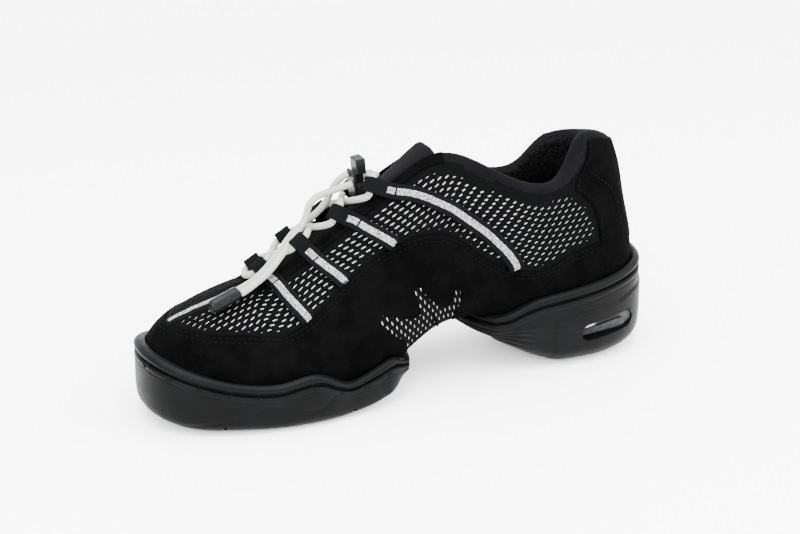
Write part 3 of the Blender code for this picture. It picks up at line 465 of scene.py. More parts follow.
# %% Section table
SECTION_COLUMNS = ("feather_x", "left", "right", "bed", "top_x", "top_y", "top_z", "drop",
                   "lean", "low_reach", "fan", "dip", "high_reach", "suede", "pad")
SECTIONS = np.array([
    (7, 0, 0, 28, 20, 0, 110, 0, 12, 30, 180, 80, 32, 0.93, 1.0),
    (13, 18, 18, 28, 23.6, 13.6, 113.5, 6, 12, 30, 130, 78, 32, 0.93, 1.0),
    (35, 27, 27, 28, 39.6, 22, 116.3, 12, 13, 28, 95, 80, 28, 0.60, 1.0),
    (66, 27, 26, 29, 57, 27, 98, 9, 16, 26, 90, 84, 24, 0.36, 1.0),
    (97, 24, 24, 33, 88, 25, 107, 10, 22, 26, 90, 76, 28, 0.42, 1.0),
    (122, 27, 28, 32, 114, 17, 118, 12, 24, 28, 90, 60, 34, 0.58, 0.6),
    (148, 34, 33, 20.6, 143, 14, 103, 10, 22, 26, 90, 42, 32, 0.70, 0.0),
    (175, 39, 38, 15, 172, 12, 83, 5, 18, 22, 90, 34, 30, 0.68, 0.0),
    (200, 40, 38, 14.5, 198, 9, 67, 2, 16, 20, 90, 26, 28, 0.56, 0.0),
    (224, 35, 34, 16.5, 211, 0, 62, 0, 16, 18, 80, 14, 28, 0.55, 0.0),
    (244, 27, 27, 20, 223, 0, 59, 0, 16, 17, 58, 17, 26, 0.60, 0.0),
    (256.5, 15, 15, 23, 232, 0, 56, 0, 16, 17, 28, 19, 21, 0.66, 0.0),
    (260, 0, 0, 24, 237, 0, 54, 0, 16, 17, 0, 20, 19, 0.70, 0.0),
])
COLUMN = {name: SECTIONS[:, number] for number, name in enumerate(SECTION_COLUMNS)}
LAST_ROW = 12
ALL_ROWS = 2 * LAST_ROW
THROAT_END = 9
LENGTH = 266.0
TOE_SWING = 5.0
WALL = 2.2
SUEDE_STEP = 0.8
CLEARANCE = 0.4
COLLAR_PAD = 3.2


def around(values):
    """Heel to toe, then back along the other side."""
    return np.concatenate([values, values[-2:0:-1]])


def periodic_spline(knots, values, at):
    """Closed cubic spline: the second slopes solve one linear system, then each stretch is its own cubic."""
    count = len(values)
    start = knots[:count]
    gap = np.diff(knots)
    slope = (np.roll(values, -1, axis=0) - values) / gap[:, None]
    system = np.diag(2 * (gap + np.roll(gap, 1)))
    index = np.arange(count)
    system[index, index - 1] += np.roll(gap, 1)
    system[index, (index + 1) % count] += gap
    bend = np.linalg.solve(system, 6 * (slope - np.roll(slope, 1, axis=0)))
    at = np.mod(at, knots[count])
    here = np.searchsorted(start, at, side="right") - 1
    after = (here + 1) % count
    step = (at - start[here])[:, None]
    width = gap[here][:, None]
    first = slope[here] - width * (2 * bend[here] + bend[after]) / 6
    curve = bend[here] / 2 + step * (bend[after] - bend[here]) / (6 * width)
    return values[here] + step * (first + step * curve)


def wall_controls():
    """Knots round the feather line, and the four control points of the cubic at each section."""
    side = np.concatenate([np.ones(LAST_ROW + 1), -np.ones(LAST_ROW - 1)])
    column = {name: around(values) for name, values in COLUMN.items()}
    across = np.where(side > 0, column["left"], -column["right"])
    feather = np.stack([column["feather_x"], across, column["bed"]], axis=1)
    middle = np.stack([column["feather_x"], side * (column["left"] + column["right"]) / 2], axis=1)
    knots = lengths_along(np.vstack([middle, middle[:1]]))
    ahead = periodic_spline(knots, feather[:, :2], knots[:-1] + 0.5)
    behind = periodic_spline(knots, feather[:, :2], knots[:-1] - 0.5)
    along = unit(ahead - behind)
    outward = np.stack([-along[:, 1], along[:, 0], np.zeros(len(along))], axis=1)
    up = np.array([0.0, 0.0, 1.0])
    lean, fan, dip = (np.radians(column[name])[:, None] for name in ("lean", "fan", "dip"))
    rise = outward * np.sin(lean) + up * np.cos(lean)
    top_z = column["top_z"] - np.where(side > 0, 0.0, column["drop"])
    top = np.stack([column["top_x"], side * column["top_y"], top_z], axis=1)
    spread = np.concatenate([np.cos(fan), side[:, None] * np.sin(fan), np.zeros_like(fan)], axis=1)
    fall = spread * np.cos(dip) - up * np.sin(dip)
    low = feather + rise * column["low_reach"][:, None]
    high = top + fall * column["high_reach"][:, None]
    return knots, np.stack([feather, low, high, top], axis=1)


KNOTS, CONTROLS = wall_controls()
print("feather line", round(KNOTS[-1], 1), "mm round")

# %% Places on the wall


def knot_at(rows):
    """Row numbers to places along the closed spline."""
    return np.interp(rows, np.arange(len(KNOTS)), KNOTS)


def along_loop(name, rows):
    """One column of the section table, read smoothly at any row."""
    shape = np.shape(rows)
    values = around(COLUMN[name])[:, None]
    return periodic_spline(KNOTS, values, knot_at(np.ravel(rows)))[:, 0].reshape(shape)


def fold(rows):
    """The row on the left side that mirrors any row."""
    rows = np.mod(rows, ALL_ROWS)
    return np.minimum(rows, ALL_ROWS - rows)


def other_side(rows):
    """The row across the shoe from any row."""
    return np.mod(ALL_ROWS - rows, ALL_ROWS)


def pad_thickness(rows):
    """Thickness of the collar's foam, from the section table."""
    return ramp(along_loop("pad", rows)) * COLLAR_PAD


def base_points(rows, shares):
    """Cubic of the section's four control points; the front half then swings to the big toe with x squared."""
    rows = np.mod(rows, ALL_ROWS)
    flat = CONTROLS.reshape(len(CONTROLS), 12)
    control = periodic_spline(KNOTS, flat, knot_at(rows)).reshape(-1, 4, 3)
    folded = fold(rows)
    ridge = folded >= THROAT_END
    control[ridge, 3] = periodic_spline(KNOTS, flat[:, 9:], knot_at(folded[ridge])) * np.array([1.0, 0.0, 1.0])
    share = shares[:, None]
    weights = ((1 - share) ** 3, 3 * share * (1 - share) ** 2, 3 * share ** 2 * (1 - share), share ** 3)
    points = sum(weight * control[:, k] for k, weight in enumerate(weights))
    points[:, 1] += TOE_SWING * np.clip((points[:, 0] - LENGTH / 2) / (LENGTH / 2), 0, None) ** 2
    return points


HIGHEST_NORMAL = 0.97
NORMAL_STEP = 0.02
ON_RIDGE = 0.999


def base_normals(rows, shares):
    """Cross product of small steps up the wall and along it, level across the ridge of the toe."""
    near = np.minimum(shares, HIGHEST_NORMAL)
    climb = base_points(rows, ramp(near + NORMAL_STEP)) - base_points(rows, ramp(near - NORMAL_STEP))
    onward = base_points(rows + NORMAL_STEP, near) - base_points(rows - NORMAL_STEP, near)
    normal = unit(np.cross(climb, onward))
    ridge = (fold(rows) >= THROAT_END) & (shares > ON_RIDGE)
    normal[ridge] = unit(normal[ridge] * np.array([1.0, 0.0, 1.0]))
    return normal


def feather_line(rows):
    """Points where the wall meets the sole, and the level directions out of the shoe there."""
    zero = np.zeros(len(rows))
    return base_points(rows, zero), unit(base_normals(rows, zero) * np.array([1.0, 1.0, 0.0]))


print("top of the heel at", base_points(np.zeros(1), np.ones(1))[0].round(1))

# %% Creases and swell
# Row, share, length along the wall and depth of the soft creases that wear leaves
CREASES = ((8.55, 0.80, 0.32, 0.5), (8.95, 0.72, 0.26, 0.4), (15.3, 0.78, 0.3, 0.5), (3.25, 0.66, 0.5, 0.35),
           (20.9, 0.68, 0.5, 0.35), (1.0, 0.75, 0.35, 0.4), (23.0, 0.75, 0.35, 0.4))
CREASE_WIDTH = 0.11
CREASE_SLANT = 0.5
# Height of the padded heel's swell, its spread in rows, the share of its middle and its spread in shares
SWELL, SWELL_ROWS, SWELL_SHARE, SWELL_SPREAD = 2.6, 1.3, 0.84, 0.17


def crease_depth(rows, shares):
    """Sum of soft troughs: a Gaussian across each crease times a Gaussian along it."""
    depth = np.zeros(np.shape(rows))
    for row, share, length, deep in CREASES:
        off = np.mod(rows - row + LAST_ROW, ALL_ROWS) - LAST_ROW - CREASE_SLANT * (shares - share)
        depth += deep * np.exp(-(off / CREASE_WIDTH) ** 2 - ((shares - share) / length) ** 2)
    return depth


def heel_swell(rows, shares):
    """The padded heel bulges backwards below its rim: a Gaussian of the row times one of the share."""
    return SWELL * np.exp(-(fold(rows) / SWELL_ROWS) ** 2 - ((shares - SWELL_SHARE) / SWELL_SPREAD) ** 2)


def wall(rows, shares, lift=0.0):
    """Base point + normal x (lift + swell - crease) for arrays of any matching shape."""
    rows, shares, lift = np.broadcast_arrays(*(np.asarray(v, float) for v in (rows, shares, lift)))
    flat_rows, flat_shares = rows.ravel(), shares.ravel()
    points = base_points(flat_rows, flat_shares)
    normal = base_normals(flat_rows, flat_shares)
    rise = lift.ravel() + heel_swell(flat_rows, flat_shares) - crease_depth(flat_rows, flat_shares)
    return (points + normal * rise[:, None]).reshape(rows.shape + (3,))


def wall_normals(rows, shares):
    """Normals of the base surface for arrays of any matching shape."""
    rows, shares = np.broadcast_arrays(np.asarray(rows, float), np.asarray(shares, float))
    return base_normals(rows.ravel(), shares.ravel()).reshape(rows.shape + (3,))


print("wall height at the waist", np.ptp(wall(5.0, np.linspace(0, 1, 9))[:, 2]).round(1), "mm")

# %% [markdown]
# ## Tongue and toggle places
#
# The free ends of the lace hang from the toggle, and the toggle sits on the tongue, so the tongue's own line
# comes before the cords. It is five points across at each section: under both walls, under both throat edges,
# and a crown between them.

# %% Tongue line and toggle frame
TONGUE_ROWS = (4.95, 8.45)
TONGUE_EDGE = 0.84
TONGUE_CROWN = 1.6
CROWN_WIDTH = 22.0
TONGUE_PUFF = 4.6
PUFF_ROWS = 2.0
TONGUE_THICKNESS = 3.6


def under_wall(rows, share, depth):
    """Base point less its normal x a depth."""
    shares = np.full(len(rows), share)
    return base_points(rows, shares) - base_normals(rows, shares) * depth


def tongue_line(rows):
    """Edges a wall's depth under both sides, and between them a crown that puffs up towards the top."""
    rows = np.asarray(rows, float)
    mirrored = other_side(rows)
    depth = (WALL + pad_thickness(rows) + 2 * CLEARANCE)[:, None]
    edges = [under_wall(rows, TONGUE_EDGE, depth), under_wall(rows, 1.0, depth),
             under_wall(mirrored, 1.0, depth), under_wall(mirrored, TONGUE_EDGE, depth)]
    puff = ramp(1 - (rows - TONGUE_ROWS[0]) / PUFF_ROWS)[:, None] ** 2
    width = np.linalg.norm(edges[1] - edges[2], axis=1, keepdims=True)
    rise = TONGUE_CROWN * np.minimum(width / CROWN_WIDTH, 1) + TONGUE_PUFF * puff
    crown = (edges[1] + edges[2]) / 2 + np.array([0.0, 0.0, 1.0]) * rise
    return np.stack([edges[0], edges[1], crown, edges[2], edges[3]], axis=1)


LOCK_X = 149.4
LOCK_LEAN = 0.095
LOCK_SEAT = 2.3
LOCK_DEPTH = 5.8
BARREL_HEIGHT = 8.6
NOTCH_HEIGHT = 4.6
CROWN_LINE = tongue_line(np.linspace(*TONGUE_ROWS, 14))[:, 2]
LOCK_FOOT = np.array([LOCK_X, 0.0, np.interp(LOCK_X, CROWN_LINE[:, 0], CROWN_LINE[:, 2]) + LOCK_SEAT])
LOCK_UP = np.array([LOCK_LEAN, 0.0, 1.0]) / np.hypot(LOCK_LEAN, 1.0)
LOCK_AHEAD = np.array([LOCK_UP[2], 0.0, -LOCK_UP[0]])
SIDEWAYS = np.array([0.0, 1.0, 0.0])


def lock_point(fore, across, up):
    """Foot of the toggle + its own three directions times three distances."""
    fore, across, up = (np.asarray(v, float)[..., None] for v in (fore, across, up))
    return LOCK_FOOT + LOCK_AHEAD * fore + SIDEWAYS * across + LOCK_UP * up


print("toggle foot", LOCK_FOOT.round(2))

# %% [markdown]
# ## Free lace ends
#
# Two elastic cords leave the front of the toggle, arch over the lacing, cross, and end side by side in a small
# barrel on the vamp. The photograph shows both from end to end, so their lengths are what it shows. Each is a
# round tube carried along its route: rings follow the path without twisting, and a UV map lets the braid wind.

# %% Routes


def hermite(start, start_way, end, end_way, part):
    """Cubic between two points: each point and each direction has its own weight at a part of the way."""
    return (start * (1 + 2 * part) * (1 - part) ** 2 + start_way * part * (1 - part) ** 2
            + end * part ** 2 * (3 - 2 * part) + end_way * part ** 2 * (part - 1))


def smooth_route(points, steps=12):
    """A cubic through each stretch, with slopes taken from the neighbours and places spaced by root distance."""
    points = np.asarray(points, float)
    span = np.linalg.norm(np.diff(points, axis=0), axis=1) ** 0.5
    slope = np.gradient(points, np.concatenate([[0.0], np.cumsum(span)]), axis=0)
    at = np.linspace(0, len(span), len(span) * steps + 1)
    here = np.clip(at.astype(int), 0, len(span) - 1)
    width = span[here][:, None]
    return hermite(points[here], slope[here] * width, points[here + 1], slope[here + 1] * width,
                   (at - here)[:, None])


def sample(line, far, at):
    """The line's x, y and z at distances along it."""
    return np.stack([np.interp(at, far, line[:, k]) for k in range(3)], axis=-1)


def even_steps(route, count):
    """Points at equal distances along a route."""
    far = lengths_along(route)
    return sample(route, far, np.linspace(0, far[-1], count))


def relax(route, width):
    """Blurs a route of even steps with a Gaussian of a width in steps; the ends stay where they are."""
    reach = int(3 * width)
    kernel = np.exp(-0.5 * (np.arange(-reach, reach + 1) / width) ** 2)
    kernel /= kernel.sum()
    head = 2 * route[0] - route[reach:0:-1]
    tail = 2 * route[-1] - route[-2:-reach - 2:-1]
    longer = np.concatenate([head, route, tail])
    return np.stack([np.convolve(longer[:, k], kernel, "valid") for k in range(3)], axis=1)


print("routes ready")

# %% Tubes along a route


def spokes(side, above, sides):
    """Rays round a circle at even angles a: side cos a + above sin a."""
    turn = np.arange(sides)[:, None] * TURN / sides
    return np.cos(turn) * side[..., None, :] + np.sin(turn) * above[..., None, :]


def end_caps(count, sides):
    """Fans that close both ends of a tube, round two more points that follow its rings."""
    ring = np.arange(sides)
    after = np.roll(ring, -1)
    last = count * sides
    return np.concatenate([np.stack([np.full(sides, last), ring, after], 1),
                           np.stack([np.full(sides, last + 1), last - sides + after, last - sides + ring], 1)])


def sleeve_uv(u_here, u_on, far):
    """UVs of a tube's quads: u from each side to the next, v the distance along the tube."""
    here, low = np.broadcast_arrays(u_here[None], far[:-1, None])
    on, high = np.broadcast_arrays(u_on[None], far[1:, None])
    corners = ((here, low), (here, high), (on, high), (on, low))
    return np.stack([np.stack(corner, 2) for corner in corners], axis=2).reshape(-1, 4, 2)


def tube(name, route, radius, sides=16):
    """Ring round each point, centre + radius (side cos a + above sin a), carried on without twist, and capped."""
    forward = unit(np.gradient(route, axis=0))
    side = np.cross(forward[0], (0.0, 0.0, 1.0))
    frames = []
    for ahead in forward:
        side = unit(side - ahead * (side @ ahead))
        frames.append(side)
    side = np.array(frames)
    rings = route[:, None] + radius * spokes(side, np.cross(side, forward), sides)
    u = np.arange(sides) / sides
    caps = end_caps(len(route), sides)
    return new_mesh(name, np.concatenate([rings.reshape(-1, 3), route[:1], route[-1:]]),
                    [grid_quads(len(route), sides, ring=True), caps],
                    [sleeve_uv(u, u + 1 / sides, lengths_along(route)), np.zeros((len(caps), 3, 2))], FINE_WELD)


print("tubes ready")

# %% The two lace ends
LACE_DIAMETER = 3.4
TAIL_ROUTES = {
    "lace_end_left": (
        (155.02, 2.1, 102.49), (156.61, 2.1, 102.34), (161.5, 2.0, 101.4), (167.2, 2.0, 100.3),
        (173.2, 2.0, 98.8), (177.2, 2.2, 95.6), (178.6, 2.4, 91.4), (180.6, 3.4, 87.4), (184.6, 5.4, 83.6),
        (193.8, 10.4, 77.0), (204.6, 16.0, 69.8), (212.2, 17.9, 66.0), (216.09, 17.9, 63.7),
        (218.93, 18.13, 62.62)),
    "lace_end_right": (
        (155.4, -2.1, 106.47), (156.99, -2.1, 106.0), (160.6, -3.4, 102.4), (163.0, -4.2, 98.6),
        (164.9, -4.4, 94.0), (168.2, -4.2, 90.2), (172.0, -4.0, 87.2), (178.0, -2.2, 84.8), (184.8, 1.4, 82.4),
        (194.0, 6.8, 76.6), (204.6, 12.4, 69.8), (212.4, 14.2, 65.6), (216.68, 13.9, 63.5),
        (219.52, 14.16, 62.62)),
}
TAIL_POINTS = 160
TAIL_BLUR = 3.5
for tail_name, listed in TAIL_ROUTES.items():
    route = relax(even_steps(smooth_route(listed), TAIL_POINTS), TAIL_BLUR)
    cord = add_piece(tube(tail_name + "_cord", route, LACE_DIAMETER / 2), BRAID, (tail_name,))
    print(tail_name, "is", round(lengths_along(route)[-1], 1), "mm long")

# %% [markdown]
# ## Barrel on the lace ends
#
# A small moulded barrel holds both ends: a cylinder with rounded rims, a shallow waist line and a dished front.
# It is a profile of radii carried along the barrel's own line.

# %% Cord end barrel
BARREL_LINE = np.array(((219.6, 16.2, 62.6), (234.6, 18.4, 58.0)))
# Columns: share of the barrel's line, radius
BARREL_PROFILE = np.array((
    (0.00, 1.9), (0.004, 2.6), (0.03, 3.1), (0.07, 3.36), (0.14, 3.4), (0.30, 3.4), (0.33, 3.22), (0.36, 3.22),
    (0.39, 3.4), (0.84, 3.42), (0.92, 3.3), (0.97, 2.95), (1.0, 2.5), (0.985, 2.2), (0.95, 1.4)))


def lathe(name, start, end, profile, sides=32):
    """Rings of the profile's radii at shares of a line, closed by a point at both ends."""
    ahead = unit(end - start)
    side = unit(np.cross(ahead, (0.0, 0.0, 1.0)))
    centre = start + profile[:, :1] * (end - start)
    rings = centre[:, None] + profile[:, 1][:, None, None] * spokes(side, np.cross(side, ahead), sides)
    return new_mesh(name, np.concatenate([rings.reshape(-1, 3), centre[:1], centre[-1:]]),
                    [grid_quads(len(profile), sides, ring=True), end_caps(len(profile), sides)], weld=FINE_WELD)


barrel_mesh = lathe("cord_end_barrel", *BARREL_LINE, BARREL_PROFILE)
cord_barrel = add_piece(barrel_mesh, PLASTIC, ("cord_end",))

# %% [markdown]
# ## Suede edge and bands
#
# A suede mudguard wraps the whole lower wall, and its upper edge swoops from the toe cap over the ball to the
# heel. Everything else on the side is set out from that edge.

# %% Suede edge and collar band
SUEDE_RANGE = (0.12, 0.94)
HEEL_SUEDE = 0.4
HEEL_ROWS = 3.3
HEEL_BLEND = 0.8


def suede_edge(rows):
    """The table's suede column, held at 0.4 round the heel where the counter covers it."""
    column = np.clip(along_loop("suede", rows), *SUEDE_RANGE)
    heel = ramp((HEEL_ROWS - fold(rows)) / HEEL_BLEND)
    heel = heel * heel * (3 - 2 * heel)
    return column * (1 - heel) + np.minimum(column, HEEL_SUEDE) * heel


BAND_FRONT = 5.05
# Row and share along the lower edge of the collar band; behind the last steep rise suede reaches the top edge
BAND_EDGE = np.array([
    (0.0, 0.967), (1.9, 0.967), (1.96, 0.945), (2.05, 0.865), (2.275, 0.838), (2.61, 0.873), (3.04, 0.927),
    (3.475, 0.917), (3.86, 0.921), (4.4, 0.903), (4.96, 0.945)])
# Share and row along the front edge of the heel counter, and along the back edge of the open knit
COUNTER_EDGE = np.array([
    (0.38, 1.88), (0.45, 1.9), (0.52, 1.89), (0.61, 2.0), (0.707, 2.24), (0.77, 2.42), (0.81, 2.42),
    (0.837, 2.22), (0.865, 2.05), (0.94, 1.95), (1.0, 1.92)])
PANEL_BACK = np.array([
    (0.38, 1.9), (0.52, 1.9), (0.61, 2.01), (0.707, 2.26), (0.77, 2.48), (0.84, 2.71), (0.88, 2.95),
    (0.95, 3.3)])


def band_share(rows):
    """Share of the wall where the collar band starts."""
    return read_off(BAND_EDGE, fold(rows))


def counter_row(shares):
    """Row where the heel counter ends."""
    return read_off(COUNTER_EDGE, shares)


def wall_length(rows):
    """Length of the wall's curve from the feather line to the top edge, in millimetres."""
    shares = np.linspace(0, 1, 25)
    line = wall(np.asarray(rows, float)[:, None], shares[None, :])
    return np.linalg.norm(np.diff(line, axis=1), axis=2).sum(axis=1)


ROW_TABLE = np.linspace(0, ALL_ROWS, 193)
LENGTH_TABLE = wall_length(ROW_TABLE)


def wall_height(rows):
    """The wall's length at any row, from the table."""
    return np.interp(np.mod(rows, ALL_ROWS), ROW_TABLE, LENGTH_TABLE)


print("wall is", LENGTH_TABLE.min().round(1), "to", LENGTH_TABLE.max().round(1), "mm tall")

# %% Where the knit is open
# Rows where the collar and the throat end, and over how many rows they fade
COLLAR_FRONT, COLLAR_BLEND = 5.6, 0.7
THROAT_FOOT, THROAT_BLEND = 9.2, 0.3
# Closed cloth below the collar band (a share), and along the throat and the toe's ridge (millimetres)
BAND_GAP, THROAT_GAP, RIDGE_GAP = 0.03, 4.5, 0.6
ROW_LENGTH = 24.0
PANEL_BORDER = 0.8
PANEL_FADE = 2.4
PANEL_CURVE = 0.7


def side_opening(rows, shares):
    """How far the knit is open: 0 at the suede, the collar band, the throat and the counter, 1 in the middle."""
    height, folded = wall_height(rows), fold(rows)
    collar = ramp((COLLAR_FRONT - folded) / COLLAR_BLEND)
    throat = ramp((THROAT_FOOT - folded) / THROAT_BLEND)
    top = collar * (band_share(rows) - BAND_GAP) + (1 - collar)
    from_suede = (shares - suede_edge(rows)) * height
    from_top = (top - shares) * height - (THROAT_GAP * throat + RIDGE_GAP) * (1 - collar)
    from_counter = (folded - read_off(PANEL_BACK, shares)) * ROW_LENGTH
    nearest = np.minimum(np.minimum(from_suede, from_top), from_counter)
    return ramp((nearest - PANEL_BORDER) / PANEL_FADE) ** PANEL_CURVE


print("knit is open over", round(100 * (side_opening(ROW_TABLE, 0.75) > 0).mean()), "% of the rows at three quarters")

# %% [markdown]
# ## Cut-out in the arch
#
# On the inner side the suede over the arch has a claw-shaped cut-out with knit behind it, which lets the waist of
# the shoe bend. Its outline is a list of rows and shares, with the corners worn round by cutting them twice.

# %% Outline of the cut-out
CLAW_CORNERS = np.array([
    (6.438, 0.383), (6.338, 0.39), (6.175, 0.35), (6.012, 0.303), (5.788, 0.25), (5.588, 0.21), (5.538, 0.223),
    (5.575, 0.263), (5.663, 0.327), (5.725, 0.377), (5.75, 0.413), (5.688, 0.417), (5.588, 0.387), (5.5, 0.337),
    (5.375, 0.277), (5.188, 0.207), (5.0, 0.153), (4.888, 0.127), (4.788, 0.137), (4.738, 0.173), (4.738, 0.217),
    (4.712, 0.243), (4.6, 0.227), (4.525, 0.177), (4.5, 0.113), (4.55, 0.07),
    (4.64, -0.05), (5.0, -0.05), (5.32, -0.05), (5.64, -0.05),
    (5.725, 0.07), (5.913, 0.153), (6.163, 0.24), (6.338, 0.31), (6.438, 0.36)])
CLAW_ROWS = (4.4, 6.55)
CLAW_TOP = 0.45


def cut_corners(loop, times):
    """Each side of a closed loop gives two points, a quarter and three quarters along it."""
    for _ in range(times):
        after = np.roll(loop, -1, axis=0)
        loop = np.stack([0.75 * loop + 0.25 * after, 0.25 * loop + 0.75 * after], axis=1).reshape(-1, 2)
    return loop


def claw_zone(rows, shares):
    """True in the box of rows and shares round the cut-out, on the inner side."""
    return (rows > CLAW_ROWS[0]) & (rows < CLAW_ROWS[1]) & (shares < CLAW_TOP)


CLAW = cut_corners(CLAW_CORNERS, 2)
print("cut-out of", len(CLAW), "points")

# %% [markdown]
# ## Upper shell
#
# Under the suede and mesh lies one lasted shell: pale spacer cloth outside, lining inside, foam in the collar.
# It is the wall's own function twice, outside and inside, joined by a rolled edge round the collar and throat.

# %% Padding and floor
HEEL_PAD = 6.5
HEEL_PAD_ROWS = 1.9
ROLL_SHARE = 0.42
# Share of the climb where the foam starts, and over how much of it the foam grows
PAD_START, PAD_GROWTH = 0.55, 0.35
MARGIN = 11.0
ARCH_ROWS = (3.65, 5.55)


def heel_pad(rows):
    """Extra foam behind the heel tendon: a Gaussian of the row, highest at the back."""
    return HEEL_PAD * np.exp(-(fold(rows) / HEEL_PAD_ROWS) ** 2)


def roll_height(rows):
    """Half the wall's thickness at the top edge, flattened a little."""
    return ROLL_SHARE * (WALL + pad_thickness(rows) + heel_pad(rows))


def padding(rows, shares):
    """Foam inside the wall: grows over the upper third of the collar, none at the throat."""
    near_top = ramp((shares - PAD_START) / PAD_GROWTH)
    return (pad_thickness(rows) + heel_pad(rows)) * near_top * (2 - near_top)


def over_arch(rows):
    """True along the arch, which no sole covers."""
    return (fold(rows) > ARCH_ROWS[0]) & (fold(rows) < ARCH_ROWS[1])


def floor_levels(rows, levels):
    """Under the foot the wall turns in: to the middle line along the arch, a margin's width elsewhere."""
    feather, outward = feather_line(rows)
    middle = (feather + feather_line(other_side(rows))[0]) / 2
    edge = np.where(over_arch(rows)[:, None], middle, feather - outward * MARGIN)
    order = np.argsort(feather[:, 0])
    edge[:, 2] = np.interp(edge[:, 0], feather[order, 0], feather[order, 2])
    part = np.linspace(1, 0, levels + 1)[:-1, None]
    return feather[:, None] + (edge - feather)[:, None] * part


print("heel foam", round(float(heel_pad(0.0)), 1), "mm")

# %% Shell with a rolled top edge
SHELL_ROWS = ROW_TABLE[:-1]
FLOOR_LEVELS = 5
OUTER_LEVELS = 40
ROLL_STEPS = 9
HEEL_RAISE = 0.32
SHELL_SINK = 0.15
BAND_PUFF = 0.9
BAND_BLEND = 0.02


def shell_grid(rows):
    """Profile at each station: floor, outer climb, roll over the top edge, inner descent, inner floor."""
    top = 1 - (roll_height(rows) - HEEL_RAISE * heel_pad(rows)) / wall_height(rows)
    ridge = fold(rows) >= THROAT_END
    top[ridge] = 1.0
    climb = np.linspace(0, 1, OUTER_LEVELS)[None, :] * top[:, None]
    lines = np.repeat(rows[:, None], OUTER_LEVELS, axis=1)
    band = (fold(lines) < BAND_FRONT) * ramp((climb - band_share(lines)) / BAND_BLEND)
    outer = wall(lines, climb, BAND_PUFF * band - SHELL_SINK)
    inner = wall(lines, climb, -WALL - padding(lines, climb))
    rim_out, rim_in = outer[:, -1:], inner[:, -1:]
    up = unit(rim_out - outer[:, -3:-2]) * roll_height(rows)[:, None, None]
    up[ridge] = 0.0
    turn = np.linspace(0, np.pi, ROLL_STEPS + 2)[1:-1, None]
    roll = (rim_out + rim_in) / 2 + (rim_out - rim_in) / 2 * np.cos(turn) + up * np.sin(turn)
    floor = floor_levels(rows, FLOOR_LEVELS)
    inner_floor = floor[:, ::-1] + np.array([0.0, 0.0, WALL])
    return np.concatenate([floor, outer, roll, inner[:, ::-1], inner_floor], axis=1), ridge


def both_ends(flags):
    """True for the quads whose two stations are both flagged."""
    return flags & np.roll(flags, -1)


grid, ridge = shell_grid(SHELL_ROWS)
stations, levels = grid.shape[:2]
roll_first = FLOOR_LEVELS + OUTER_LEVELS - 1
kept = np.ones((stations, levels), bool)
kept[both_ends(ridge), roll_first:roll_first + ROLL_STEPS + 1] = False
kept[both_ends(over_arch(SHELL_ROWS)), levels - 1] = False
quads = grid_quads(stations, levels, closed=True, ring=True).reshape(stations, levels, 4)
shell_mesh = new_mesh("upper_shell", grid.reshape(-1, 3), [quads[kept]], weld=None)
print("shell grid", stations, "x", levels)

# %% Cloths of the shell
level_of = np.broadcast_to(np.arange(levels), (stations, levels))[kept]
row_of = np.broadcast_to(SHELL_ROWS[:, None], (stations, levels))[kept]
share_of = ramp((level_of - FLOOR_LEVELS) / (OUTER_LEVELS - 1))
pale = (side_opening(row_of, share_of) > 0) | (claw_zone(row_of, share_of) & (level_of >= FLOOR_LEVELS))
inside = level_of >= roll_first + ROLL_STEPS - 1
cloth_of = np.where(inside, 2, np.where(pale & (level_of < roll_first), 0, 1)).astype(np.int32)
shell_mesh.polygons.foreach_set("material_index", cloth_of)
close_up(shell_mesh, WELD)
add_piece(shell_mesh, BACKING, ("upper",))
shell_mesh.materials.append(FOAM_CLOTH)
shell_mesh.materials.append(LINING)
print("shell", len(shell_mesh.polygons), "faces")

# %% [markdown]
# ## A chart for flat cloth
#
# Knit is cut flat, so its holes keep one size and run in rows along the shoe. The chart is the shoe's side
# unrolled: a plane across the shoe at x, and the distance down the wall from the top edge. A table turns any
# spot of the chart into a row and a share, so a flat pattern can be laid on the last.

# %% Chart of the side
CHART_STEP = 1.5
CHART_X = np.arange(18.0, 262.0, CHART_STEP)
CHART_DOWN = np.arange(-16.0, 112.0, 1.0)
DIP_HEIGHT = 97.0
DIP_X = 60.0


def chart_tables():
    """For each plane: the row of every share on that plane, its distance from the top, then the inverse."""
    rows = np.linspace(0.3, LAST_ROW, 235)
    shares = np.linspace(0, 1, 61)
    spots = wall(rows[:, None], shares[None, :])
    row_on = np.stack([np.interp(CHART_X, spots[:, k, 0], rows) for k in range(len(shares))], axis=1)
    line = wall(row_on, np.broadcast_to(shares, row_on.shape))
    step = np.linalg.norm(np.diff(line[:, ::-1], axis=1), axis=2)
    down = np.concatenate([np.zeros((len(CHART_X), 1)), np.cumsum(step, axis=1)], axis=1)
    height = line[:, ::-1, 2]
    above_dip = np.array([np.interp(-DIP_HEIGHT, -h, d) for h, d in zip(height, down)])
    past_ridge = (down * (row_on[:, ::-1] > LAST_ROW - 0.001)).max(axis=1)
    start = np.where(CHART_X < DIP_X, above_dip, past_ridge)
    down = down - start[:, None]
    share_at = np.array([np.interp(CHART_DOWN, d, shares[::-1]) for d in down])
    row_at = np.array([np.interp(s, shares, r) for s, r in zip(share_at, row_on)])
    return row_at, share_at, np.where(CHART_X < DIP_X, -start, 0.0)


ROW_AT, SHARE_AT, CHART_TOP = chart_tables()


def chart(x, down):
    """Row and share at a spot of the chart, by the four nearest entries of the tables."""
    fx = np.clip((x - CHART_X[0]) / CHART_STEP, 0, len(CHART_X) - 1.001)
    fd = np.clip(down - CHART_DOWN[0], 0, len(CHART_DOWN) - 1.001)
    i, j = fx.astype(int), fd.astype(int)
    a, b = fx - i, fd - j
    return [table[i, j] * (1 - a) * (1 - b) + table[i + 1, j] * a * (1 - b)
            + table[i, j + 1] * (1 - a) * b + table[i + 1, j + 1] * a * b for table in (ROW_AT, SHARE_AT)]


print("chart", ROW_AT.shape)

